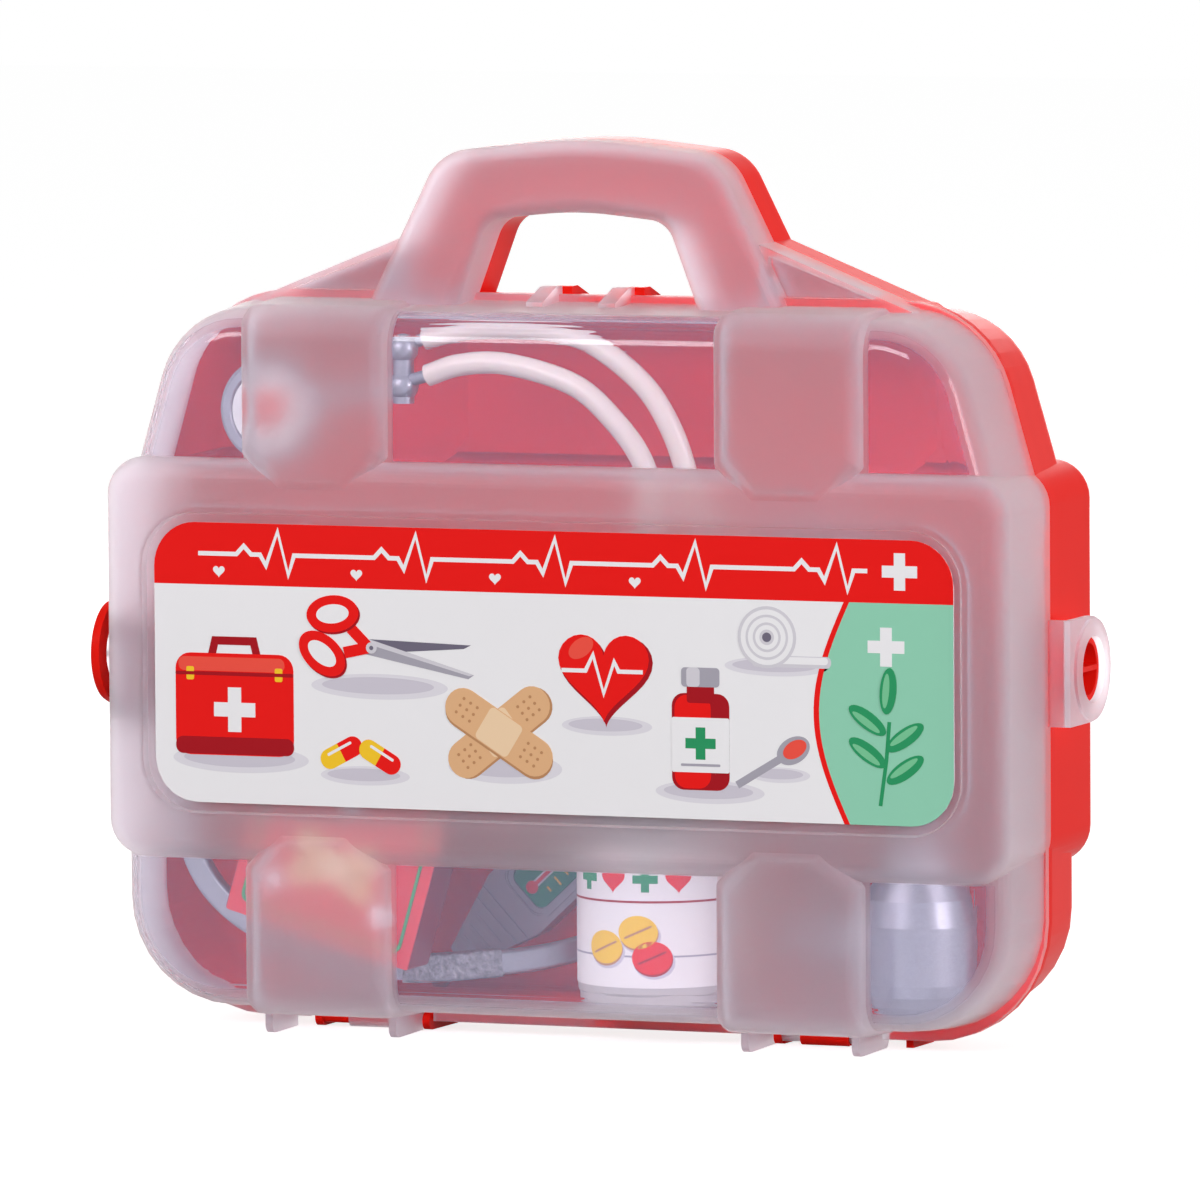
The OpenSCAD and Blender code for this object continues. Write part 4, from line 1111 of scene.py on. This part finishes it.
def box_board():
    """Red carton whose narrow sides carry painted shade, a darker red, told apart in the box's own leaning
    frame.
    """
    material = board_material("box_board", srgb(222, 42, 48))
    nodes, links = material.node_tree.nodes, material.node_tree.links
    shader = nodes["Principled BSDF"]
    place = node(nodes, "ShaderNodeTexCoord")
    upright = node(nodes, "ShaderNodeMapping", vector_type="TEXTURE")
    upright.inputs["Location"].default_value = [c * MM for c in BOX_AT]
    upright.inputs["Rotation"].default_value = (0, math.radians(BOX_LEAN), 0)
    parts = node(nodes, "ShaderNodeSeparateXYZ")
    links.new(place.outputs["Object"], upright.inputs["Vector"])
    links.new(upright.outputs["Vector"], parts.inputs["Vector"])
    op = chain(nodes, links)
    from_middle = op("ABSOLUTE", op("ADD", parts.outputs["X"], BOX_W / 2 * MM))
    side = ramp(nodes, links, from_middle, (BOX_W / 2 - 0.3) * MM, (BOX_W / 2 - 0.1) * MM)
    # Painted shade: a darker red on the box's narrow sides.
    sides = node(nodes, "ShaderNodeMix", data_type="RGBA")
    sides.inputs["B"].default_value = (*srgb(140, 18, 36), 1)
    links.new(side, sides.inputs["Factor"])
    links.new(shader.inputs["Base Color"].links[0].from_socket, sides.inputs["A"])
    links.new(sides.outputs["Result"], shader.inputs["Base Color"])
    return material


SILVER = silver_paint("silver_plastic", srgb(172, 170, 180))
CREAM = moulded_plastic("cream_tube_vinyl", srgb(226, 212, 204), roughness=0.28, grain=300, depth=0.00002,
                        spread=0.02, Subsurface_Weight=0.15, Subsurface_Scale=0.002)
JAR_GREY = moulded_plastic("jar_plastic", srgb(196, 190, 188), roughness=0.35)
JAR_PAPER = film("jar_paper", srgb(242, 238, 236))
TRIM_RED = moulded_plastic("trim_red", srgb(224, 34, 30), roughness=0.3, Specular_IOR_Level=0.35)

THERMO_PLASTIC = clear_plastic("thermometer_plastic", srgb(206, 202, 212), haze=0.65, roughness=0.2)

for tube in tubes:
    tube.data.materials.append(CREAM)
for name in ("chestpiece", "hammer_handle", "hammer_head", "otoscope_handle", "otoscope_head"):
    finish_node(name, SILVER)
finish_node("chestpiece_diaphragm", moulded_plastic("diaphragm", srgb(222, 220, 220), roughness=0.4))
finish_node("chestpiece_heart", TRIM_RED)
finish_node("ear_tips", silver_paint("ear_tip_plastic", srgb(150, 148, 158), roughness=0.42))
finish_node("jar_body", JAR_GREY)
finish_node("jar_label", JAR_PAPER)
finish_node("syringe_barrel", clear_plastic("barrel_plastic", srgb(236, 240, 246)))
finish_node("syringe_plunger", TRIM_RED)
finish_node("syringe_seal", moulded_plastic("seal_rubber", srgb(176, 26, 24), roughness=0.5))
finish_node("otoscope_cone", silver_paint("cone_plastic", srgb(146, 144, 156), roughness=0.36))
finish_node("thermometer_body", THERMO_PLASTIC)
finish_node("thermometer_card", film("card_green", srgb(44, 146, 104)))
finish_node("thermometer_probe", silver_paint("tip_metal", srgb(206, 204, 204), roughness=0.2))
finish_node("plaster_box", box_board())
finish_node("plaster_box_print", board_material("box_line", srgb(58, 150, 88)))

# ---------------------------------------------------------------- ribs, flutes and marks, grown by rule


class Growth:
    """A Geometry Nodes tree: named sizes in, one plain mesh with its material out."""

    def __init__(self, name):
        self.group = bpy.data.node_groups.new(name, "GeometryNodeTree")
        self.group.interface.new_socket("Grown", in_out="OUTPUT", socket_type="NodeSocketGeometry")
        self.sizes = self.group.nodes.new("NodeGroupInput")

    def size(self, name, kind="Float"):
        """Adds a named input and gives its socket."""
        self.group.interface.new_socket(name, in_out="INPUT", socket_type="NodeSocket" + kind)
        return self.sizes.outputs[name]

    def step(self, kind, **inputs):
        """Adds a node, gives its inputs by name and returns its first output."""
        made = self.group.nodes.new(kind)
        for name, value in inputs.items():
            feed(self.group.links, made.inputs[name.replace("_", " ")], value)
        return made.outputs[0]

    def vector(self, x=0.0, y=0.0, z=0.0):
        return self.step("ShaderNodeCombineXYZ", X=x, Y=y, Z=z)

    def reckon(self, operation, a, b):
        """Adds a sum of two values."""
        made = self.group.nodes.new("ShaderNodeMath")
        made.operation = operation
        feed(self.group.links, made.inputs[0], a)
        feed(self.group.links, made.inputs[1], b)
        return made.outputs[0]

    def close(self, grown, finish):
        """Ends the tree in real geometry with its material."""
        real = self.step("GeometryNodeRealizeInstances", Geometry=grown)
        coated = self.step("GeometryNodeSetMaterial", Geometry=real, Material=finish)
        end = self.group.nodes.new("NodeGroupOutput")
        self.group.links.new(coated, end.inputs[0])
        return self.group


def rounded_section(tree, width, height, edge):
    """Rectangle with rounded corners, as the section of a rib or a mark."""
    box = tree.step("GeometryNodeCurvePrimitiveQuadrilateral", Width=width, Height=height)
    soft = tree.group.nodes.new("GeometryNodeFilletCurve")
    soft.mode = "POLY"
    for name, value in (("Curve", box), ("Count", 3), ("Radius", edge)):
        feed(tree.group.links, soft.inputs[name], value)
    return soft.outputs[0]


def grip_ribs_tree():
    """Rounded rings round an upright grip, one above the other."""
    tree = Growth("grip_ribs")
    count, pitch = tree.size("Count", "Int"), tree.size("Pitch")
    radius, rise, height, edge = (tree.size(name) for name in ("Grip radius", "Rise", "Rib height", "Edge"))
    finish = tree.size("Finish", "Material")
    ring = tree.step("GeometryNodeCurveToMesh",
                     Curve=tree.step("GeometryNodeCurvePrimitiveCircle", Resolution=64, Radius=radius),
                     Profile_Curve=rounded_section(tree, rise, height, edge))
    spots = tree.step("GeometryNodeMeshLine", Count=count, Offset=tree.vector(z=pitch))
    return tree.close(tree.step("GeometryNodeInstanceOnPoints", Points=spots, Instance=ring), finish)


def flutes_tree():
    """Upright round ribs standing in a circle, for the push-on cap."""
    tree = Growth("cap_flutes")
    count, radius = tree.size("Count", "Int"), tree.size("Circle radius")
    thick, height = tree.size("Flute radius"), tree.size("Flute height")
    finish = tree.size("Finish", "Material")
    flute = tree.step("GeometryNodeMeshCylinder", Vertices=12, Radius=thick, Depth=height)
    spots = tree.step("GeometryNodeMeshCircle", Vertices=count, Radius=radius)
    return tree.close(tree.step("GeometryNodeInstanceOnPoints", Points=spots, Instance=flute), finish)


MARK_RELIEF, MARK_EDGE = 0.3, 0.03 * MM      # a mark's height as a share of its stroke, and its rounding
RIDGE_EDGE = 0.3 * MM


def scale_tree():
    """Thin marks curved round the front of a barrel, one above the other."""
    tree = Growth("barrel_scale")
    count, pitch = tree.size("Count", "Int"), tree.size("Pitch")
    radius, middle, reach = tree.size("Barrel radius"), tree.size("Middle angle"), tree.size("Mark angle")
    stroke, finish = tree.size("Stroke"), tree.size("Finish", "Material")
    start = tree.reckon("SUBTRACT", middle, tree.reckon("MULTIPLY", reach, 0.5))
    arc = tree.step("GeometryNodeCurveArc", Resolution=20, Radius=radius, Start_Angle=start,
                    Sweep_Angle=reach)
    relief = tree.reckon("MULTIPLY", stroke, MARK_RELIEF)
    mark = tree.step("GeometryNodeCurveToMesh", Curve=arc, Fill_Caps=True,
                     Profile_Curve=rounded_section(tree, relief, stroke, MARK_EDGE))
    spots = tree.step("GeometryNodeMeshLine", Count=count, Offset=tree.vector(z=pitch))
    return tree.close(tree.step("GeometryNodeInstanceOnPoints", Points=spots, Instance=mark), finish)


def ridges_tree():
    """Bars across a taper, each wider than the one below by the same step."""
    tree = Growth("taper_ridges")
    count, pitch, width = tree.size("Count", "Int"), tree.size("Pitch"), tree.size("First width")
    growth, height, depth = tree.size("Width step"), tree.size("Ridge height"), tree.size("Ridge depth")
    finish = tree.size("Finish", "Material")
    bar = tree.step("GeometryNodeCurveToMesh", Fill_Caps=True,
                    Curve=tree.step("GeometryNodeCurvePrimitiveLine", Start=(-0.5, 0, 0), End=(0.5, 0, 0)),
                    Profile_Curve=rounded_section(tree, depth, height, RIDGE_EDGE))
    wider = tree.reckon("MULTIPLY", growth, tree.step("GeometryNodeInputIndex"))
    stretch = tree.vector(tree.reckon("ADD", width, wider), 1.0, 1.0)
    spots = tree.step("GeometryNodeMeshLine", Count=count, Offset=tree.vector(z=pitch))
    rows = tree.step("GeometryNodeInstanceOnPoints", Points=spots, Instance=bar, Scale=stretch)
    return tree.close(rows, finish)


def standing(x, y, z):
    """The place of a piece that is built upright on the origin."""
    return Matrix.Translation((x * MM, y * MM, z * MM))


def grow(name, group, place, **sizes):
    """Runs a tree with these sizes, and gives its mesh as a piece in its place. Lengths are in metres."""
    seed = piece_from(bpy.data.meshes.new(name))
    step = seed.modifiers.new("growth", "NODES")
    step.node_group = group
    sockets = {item.name: item.identifier for item in group.interface.items_tree if item.in_out == "INPUT"}
    for label, value in sizes.items():
        step[sockets[label.replace("_", " ")]] = value
    apply_modifiers(seed)
    seed.data.name = name
    seed.data.transform(place)
    outward(seed)
    return seed


def put(piece, body, angle=40):
    """Smooth shading and body of a grown piece."""
    piece.data.shade_smooth()
    piece.data.set_sharp_from_angle(angle=math.radians(angle))
    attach(piece, body)
    return piece


def turned(name, profile, place, steps=96):
    """Solid of revolution about an upright axis, from [radius, z] points that start and end on the axis."""
    points, faces = [(0, 0, profile[0][1])], []
    rows = profile[1:-1]
    turns = [2 * math.pi * k / steps for k in range(steps)]
    for r, z in rows:
        points += [(r * math.cos(a), r * math.sin(a), z) for a in turns]
    points.append((0, 0, profile[-1][1]))
    last = len(points) - 1
    for k in range(steps):
        n = (k + 1) % steps
        faces.append((0, 1 + n, 1 + k))
        for j in range(len(rows) - 1):
            a, b = 1 + j * steps + k, 1 + j * steps + n
            faces.append((a, b, b + steps, a + steps))
        a, b = last - steps + k, last - steps + n
        faces.append((a, b, last))
    piece = piece_from(mesh_from(name, points, faces))
    piece.data.transform(place)
    outward(piece)
    return piece


# ---------------------------------------------------------------- jar cap, grips and barrel scale

JAR_X, JAR_R, JAR_H, JAR_NECK = 20.0, 25.0, 68.0, 12.0
JAR_Z = TUB_Z + WALL + DRAFT * (JAR_R - 2.4) / (HALF_D - EDGE_R) + CLEAR
CAP_FOOT = JAR_Z + JAR_H - JAR_NECK          # the cap sits on the jar's shoulder
CAP_H, CAP_EDGE, CAP_WALL_R, CAP_BORE_R = 14.0, 1.6, 25.0, 23.3
FLUTES, FLUTE_R, FLUTE_H, FLUTE_MIDDLE = 36, 1.5, 10.2, 6.9
CAP_GREY = moulded_plastic("jar_lid_plastic", srgb(156, 150, 144), roughness=0.36, grain=900, depth=0.00001)


def jar_cap():
    """Hollow cap with rounded shoulders, a raised ring on its top and flutes round its wall."""
    place = standing(JAR_X, 0, CAP_FOOT)
    wall = [(0, 12.2), (CAP_BORE_R - 0.6, 12.2), (CAP_BORE_R, 11.6), (CAP_BORE_R, 0.4), (CAP_BORE_R + 0.4, 0),
            (CAP_WALL_R + 0.1, 0), (CAP_WALL_R + 0.6, 0.5), (CAP_WALL_R + 0.6, 1.4), (CAP_WALL_R, 1.9)]
    shoulder = [(CAP_WALL_R - CAP_EDGE * (1 - math.cos(a)), CAP_H - 2 + CAP_EDGE * math.sin(a))
                for a in np.linspace(0, math.pi / 2, 7)]
    top = [(20.4, CAP_H - 0.4), (20, CAP_H), (18.4, CAP_H), (18, CAP_H - 0.4), (0, CAP_H - 0.6)]
    cap = turned("jar_cap_moulding", wall + shoulder + top, place)
    settle(cap, "jar_lid", CAP_GREY, replaces=("jar_lid",))
    flutes = grow("jar_cap_flutes", flutes_tree(), standing(JAR_X, 0, CAP_FOOT + FLUTE_MIDDLE), Count=FLUTES,
                  Circle_radius=(CAP_WALL_R - 0.9) * MM, Flute_radius=FLUTE_R * MM,
                  Flute_height=FLUTE_H * MM, Finish=CAP_GREY)
    put(flutes, "jar_lid")


jar_cap()

# Each place is the foot of the piece that carries the growth.
HAMMER_AT, GRIP_R, GRIP_RIBS, GRIP_PITCH = (74.0, 10.0, 10.53), 6.0, 9, 5.0
SCOPE_AT, SCOPE_GRIP_R, SCOPE_HEAD_H, SCOPE_RIBS, SCOPE_PITCH = (111.0, -12.0, 11.18), 9.5, 52.1, 6, 10.0
SYRINGE_AT, BARREL_R, SCALE_FOOT, SCALE_PITCH, MARK_W = (-90.0, 23.0), 11.0, 34.0, 10.0, 0.6


def grips():
    """Ribs round the hammer's grip, and thin red rings round the otoscope's."""
    tree = grip_ribs_tree()
    x, y, z = HAMMER_AT
    put(grow("hammer_grip_ribs", tree, standing(x, y, z + 2.5), Count=GRIP_RIBS, Pitch=GRIP_PITCH * MM,
             Grip_radius=(GRIP_R - 0.3) * MM, Rise=2.0 * MM, Rib_height=3.2 * MM, Edge=0.7 * MM,
             Finish=SILVER), "rear")
    x, y, z = SCOPE_AT
    put(grow("otoscope_grip_ribs", tree, standing(x, y, z + SCOPE_HEAD_H + 6), Count=SCOPE_RIBS,
             Pitch=SCOPE_PITCH * MM, Grip_radius=(SCOPE_GRIP_R - 1.0) * MM, Rise=1.6 * MM,
             Rib_height=1.5 * MM, Edge=0.5 * MM, Finish=TRIM_RED), "rear")


def syringe_scale():
    """Long marks on the barrel, with a short one between each two."""
    ink, tree = film("scale_ink", srgb(66, 62, 74)), scale_tree()
    for name, count, foot, angle in (("syringe_long_marks", 6, SCALE_FOOT, 1.5),
                                     ("syringe_short_marks", 5, SCALE_FOOT + SCALE_PITCH / 2, 0.8)):
        put(grow(name, tree, standing(*SYRINGE_AT, foot), Count=count, Pitch=SCALE_PITCH * MM,
                 Barrel_radius=(BARREL_R + 0.08) * MM, Middle_angle=-math.pi / 2, Mark_angle=angle,
                 Stroke=MARK_W * MM, Finish=ink), "rear")


grips()
syringe_scale()

# ---------------------------------------------------------------- headset band

BAND_LINE = [(-119, -12, 116), (-127, -12, 112), (-133, -12, 101), (-135, -12, 84), (-134, -13, 64),
             (-126, -14, 46), (-110, -14, 33), (-86, -14, 24), (-61, -12, 21), (-38, -2, 22), (-20, 9, 24),
             (-4, 20, 29), (16, 31, 37), (31, 32, 50), (37.5, 32, 64), (39, 32, 80), (39, 32, 96),
             (35, 32, 110), (26, 32, 118), (15, 31, 121)]
PAD_FROM, PAD_TO = 8, 9                      # points between which the textured pad lies
ARM_W, ARM_T = 8.0, 5.0
BAND_STEPS = 12


def swept(name, line, w, t, edge):
    """Bar of w by t with rounded edges along a line, its flat side towards the front."""
    ring = rounded(box_corners(-w / 2, w / 2, -t / 2, t / 2, edge), 0, 4)
    points, faces, count = [], [], len(ring)
    for i, p in enumerate(line):
        along = unit(line[min(i + 1, len(line) - 1)] - line[max(i - 1, 0)])
        deep = unit(np.array((0, 1, 0)) - along * along[1])
        across = np.cross(deep, along)
        points += [p + across * a + deep * b for a, b in ring]
    for i in range(len(line) - 1):
        for j in range(count):
            a, b = i * count + j, i * count + (j + 1) % count
            faces.append((a, b, b + count, a + count))
    faces.append(tuple(range(count - 1, -1, -1)))
    faces.append(tuple(range(len(points) - count, len(points))))
    piece = piece_from(mesh_from(name, points, faces))
    outward(piece)
    return piece


def headset():
    """The grey band with its three sockets, and the textured pad on its lower bend."""
    fine = smooth_route(BAND_LINE, BAND_STEPS)
    band = swept("headset_band", fine, ARM_W, ARM_T, 1.6)
    add(band, swept("socket_left", smooth_route([(-131.5, -11.5, 103), (-130.9, -5, 106.5)], 2), 4, 4, 1.9),
        swept("socket_end", smooth_route([(-130.9, -5, 106), (-131, -5, 111.7)], 2), 4, 4, 1.9),
        swept("socket_right", smooth_route([(40, 32, 87), (45.8, 30.1, 98.7)], 2), 4, 4, 1.9))
    settle(band, "rear", SILVER, replaces=("headset_frame",))
    under_pad = fine[PAD_FROM * BAND_STEPS:PAD_TO * BAND_STEPS + 4]
    pad = swept("headset_pad", under_pad, ARM_W + 1, ARM_T + 1, 1.2)
    material, nodes, links, shader = new_material("textured_pad")
    set_sockets(shader, Metallic=0.6, Roughness=0.4)
    add_mottle(nodes, links, shader, srgb(150, 146, 152), 0.8, 620)
    add_grain(nodes, links, shader, 620, 0.003, 1.0)
    settle(pad, "rear", material)


headset()

# ---------------------------------------------------------------- jar label

PAPER_R = JAR_R + 0.3
STRIP_W = 1.4                                # a wrapped print is cut into strips of this width
ROUND_JAR = (-53, 0, 53)                     # where the motifs stand, measured along the paper
TABLETS = [(-8.5, 12.5, "yellow", "deep_tan"), (3, 17.5, "yellow", "deep_tan"),
           (7.5, 9.5, "red", "deep_red")]


def wrap(piece):
    """Bends a flat print round the jar: X becomes the way round it, seen from the front.

    It is first cut into narrow upright strips, so that no face dips into the paper.
    """
    triangulate(piece.data)
    work = bmesh.new()
    work.from_mesh(piece.data)
    reach = [v.co.x / MM for v in work.verts]
    for x in np.arange(min(reach) + STRIP_W, max(reach), STRIP_W):
        everything = work.verts[:] + work.edges[:] + work.faces[:]
        bmesh.ops.bisect_plane(work, geom=everything, plane_co=(x * MM, 0, 0), plane_no=(1, 0, 0))
    work.to_mesh(piece.data)
    work.free()
    for v in piece.data.vertices:
        a = v.co.x / (PAPER_R * MM)
        r = (PAPER_R - (v.co.y / MM)) * MM
        v.co = (JAR_X * MM + r * math.sin(a), -r * math.cos(a), v.co.z)
    piece.data.update()


def tablet(print_on, colour, line, x, z):
    """Round tablet with its dividing line."""
    print_on.disc("shadow", x + 0.7, z - 1.3, 6.6, 5.4, 0, 28)
    print_on.disc(line, x + 0.2, z - 0.5, 6.4, 5.4, 0, 28)
    print_on.disc(colour, x, z, 6.4, 5.2, 0, 28)
    print_on.bar(line, x, z, 9.6, 0.7, 0.3, 24)


def jar_art():
    """Two lines round the jar, and three times round it some tablets under a row of hearts and crosses."""
    art = Print("jar_artwork", 0)
    half_turn = math.pi * PAPER_R
    foot = JAR_Z + 8
    for colour, low, high in (("silver", 9.6, 10.2), ("deep_red", 26.6, 27.3)):
        art.start()
        line = box_corners(-half_turn, half_turn, foot + low, foot + high, 0.01)
        art.shape(colour, rounded(line, 0, 1))
    for around in ROUND_JAR:
        for dx, dz, colour, edge in TABLETS:
            art.start(3)
            tablet(art, colour, edge, around + dx, foot + dz)
        for k, dx in enumerate((-16, -5.4, 5.4, 16)):
            art.start()
            if k % 2:
                art.heart("red", around + dx, foot + 34, 9)
            else:
                art.cross("green", around + dx, foot + 34, 8)
    wrap(art.make("rear"))


jar_art()

# ---------------------------------------------------------------- plaster box print


def leaning(piece, at, lean):
    """Turns a piece about Y and puts it in its place."""
    turn = Matrix.Rotation(math.radians(lean), 4, "Y")
    piece.data.transform(Matrix.Translation(Vector(at) * MM) @ turn)


def box_art():
    """Large cross, small crosses in the corners and two crossed plasters, on the box's face."""
    art = Print("plaster_box_artwork", 0.0)
    art.start(2)
    art.cross("white", -BOX_W / 2, 52, 21)
    for x, z in ((-13, 14), (-51, 14), (-13, 68), (-51, 68)):
        art.start(2)
        art.cross("white", x, z, 8)
    art.start(2)
    for turn in (24, -24):
        art.bar("tan", -BOX_W / 2, 24, 32, 8.6, 4.2, turn)
        art.bar("sand", -BOX_W / 2, 24, 10, 8.0, 1, turn)
    leaning(art.make("rear"), BOX_AT, BOX_LEAN)


box_art()

# ---------------------------------------------------------------- thermometer scale

THERMO_AT, THERMO_LEAN = (-57.3, 29.5, 20.3), 47.0
THERMO_W, THERMO_LEN, THERMO_T, TAPER_LEN = 25.0, 84.0, 10.0, 26.0
RIDGE_PITCH, RIDGE_W, RIDGE_STEP, RIDGE_H, RIDGE_T = 4.0, 8.4, 1.9, 1.2, 0.8
FRAME_OUT, FRAME_IN = 3.0, 2.2               # the raised line's edges, measured from the card


def thermometer_scale():
    """Red column in a white tube, with a row of marks, on the card."""
    art = Print("thermometer_scale", -THERMO_T / 2 + 1)
    art.start()
    art.bar("white", 0, TAPER_LEN + 26, 2.4, 38, 1.1)
    art.bar("red", 0, TAPER_LEN + 20, 1.2, 24, 0.5)
    art.disc("red", 0, TAPER_LEN + 8, 2.1, None, 0, 20)
    for k in range(9):
        art.start()
        art.bar("yellow", 4.2, TAPER_LEN + 12 + 4 * k, 3.4 if k % 2 else 2.0, 0.7, 0.3)
    leaning(art.make("rear"), THERMO_AT, THERMO_LEAN)


def thermometer_ridges():
    """Ridges across the taper, for the fingers."""
    ridges = grow("thermometer_ridges", ridges_tree(), standing(0, -THERMO_T / 2, 6), Count=3,
                  Pitch=RIDGE_PITCH * MM, First_width=RIDGE_W * MM, Width_step=RIDGE_STEP * MM,
                  Ridge_height=RIDGE_H * MM, Ridge_depth=RIDGE_T * MM, Finish=THERMO_PLASTIC)
    leaning(put(ridges, "rear"), THERMO_AT, THERMO_LEAN)


def card_area(grow, radius):
    """The card's outline, grown all round."""
    low, high, half = TAPER_LEN + 5, THERMO_LEN - 12, (THERMO_W - 10) / 2
    return rounded(box_corners(-half - grow, half + grow, low - grow, high + grow, radius))


def thermometer_frame():
    """Raised line round the card."""
    face = -THERMO_T / 2
    line = plate("thermometer_frame", card_area(FRAME_OUT, 5), face - 0.5, face + 0.4)
    cut(line, plate("frame_hole", card_area(FRAME_IN, 4.4), face - 2, face + 2))
    leaning(line, THERMO_AT, THERMO_LEAN)
    settle(line, "rear", THERMO_PLASTIC)


thermometer_scale()
thermometer_ridges()
thermometer_frame()

# ---------------------------------------------------------------- floor, backdrop and lamps

FLOOR_REACH, FLOOR_GREY, FLOOR_GLOW = 6000.0, 0.5, 0.8
WHITE = (1, 1, 1, 1)
ROOM_LIGHT, ROOM_SEEN = 0.38, 1.0            # what the room gives the object, and what is seen of it
LAMPS_AIM = (0, 0, 0.14)
SOFTBOXES = {                                # place and size in metres, then watts
    "key_softbox": ((-0.75, -1.85, 1.15), (1.5, 0.5), 19.5),
    "side_softbox": ((1.9, -0.7, 0.8), (0.8, 1.0), 22),
    "top_softbox": ((0.4, -0.5, 1.9), (1.4, 0.5), 2.5),
    "rear_softbox": ((-0.7, 1.95, 0.45), (1.5, 0.7), 12),
}


def seen_directly(nodes, links):
    """1 for what the camera sees straight, in a reflection or through clear plastic."""
    path = node(nodes, "ShaderNodeLightPath")
    either = node(nodes, "ShaderNodeMath", operation="MAXIMUM")
    any_of = node(nodes, "ShaderNodeMath", operation="MAXIMUM")
    links.new(path.outputs["Is Camera Ray"], either.inputs[0])
    links.new(path.outputs["Is Transmission Ray"], either.inputs[1])
    links.new(either.outputs[0], any_of.inputs[0])
    links.new(path.outputs["Is Glossy Ray"], any_of.inputs[1])
    return any_of.outputs[0]


def make_floor():
    """Pale floor that takes the shadow and is seen as white."""
    r = FLOOR_REACH
    floor = piece_from(mesh_from("floor", [(-r, -r, 0), (r, -r, 0), (r, r, 0), (-r, r, 0)], [(0, 1, 2, 3)]))
    material, nodes, links, shader = new_material("pale_floor")
    set_sockets(shader, Base_Color=(*[FLOOR_GREY] * 3, 1), Roughness=0.9, Specular_IOR_Level=0.0)
    glow = node(nodes, "ShaderNodeEmission")
    glow.inputs["Color"].default_value = WHITE
    glow.inputs["Strength"].default_value = FLOOR_GLOW
    seen = seen_directly(nodes, links)
    dark = node(nodes, "ShaderNodeMixShader")
    links.new(seen, dark.inputs["Fac"])
    links.new(glow.outputs[0], dark.inputs[2])
    both = node(nodes, "ShaderNodeAddShader")
    links.new(shader.outputs[0], both.inputs[0])
    links.new(dark.outputs[0], both.inputs[1])
    links.new(both.outputs[0], nodes["Material Output"].inputs["Surface"])
    floor.data.materials.append(material)


def make_world():
    """White room: soft light on the object, and a full white where it is seen."""
    world = bpy.data.worlds.new("studio")
    world.use_nodes = True
    bpy.context.scene.world = world
    nodes, links = world.node_tree.nodes, world.node_tree.links
    back = nodes["Background"]
    back.inputs["Color"].default_value = WHITE
    back.inputs["Strength"].default_value = ROOM_LIGHT
    seen = node(nodes, "ShaderNodeBackground")
    seen.inputs["Strength"].default_value = ROOM_SEEN
    seen.inputs["Color"].default_value = WHITE
    mix = node(nodes, "ShaderNodeMixShader")
    links.new(seen_directly(nodes, links), mix.inputs["Fac"])
    links.new(back.outputs[0], mix.inputs[1])
    links.new(seen.outputs[0], mix.inputs[2])
    links.new(mix.outputs[0], nodes["World Output"].inputs["Surface"])


def softbox(name, at, size, power):
    """Area lamp that faces the case."""
    data = bpy.data.lights.new(name, "AREA")
    data.shape, data.size, data.size_y, data.energy = "RECTANGLE", size[0], size[1], power
    lamp = bpy.data.objects.new(name, data)
    lamp.location = at
    aim = Vector(LAMPS_AIM) - Vector(at)
    lamp.rotation_euler = aim.to_track_quat("-Z", "Y").to_euler()
    bpy.context.scene.collection.objects.link(lamp)


make_floor()
make_world()
for name, (at, size, power) in SOFTBOXES.items():
    softbox(name, at, size, power)

bpy.context.scene.view_settings.view_transform = "Standard"

bpy.context.view_layer.update()
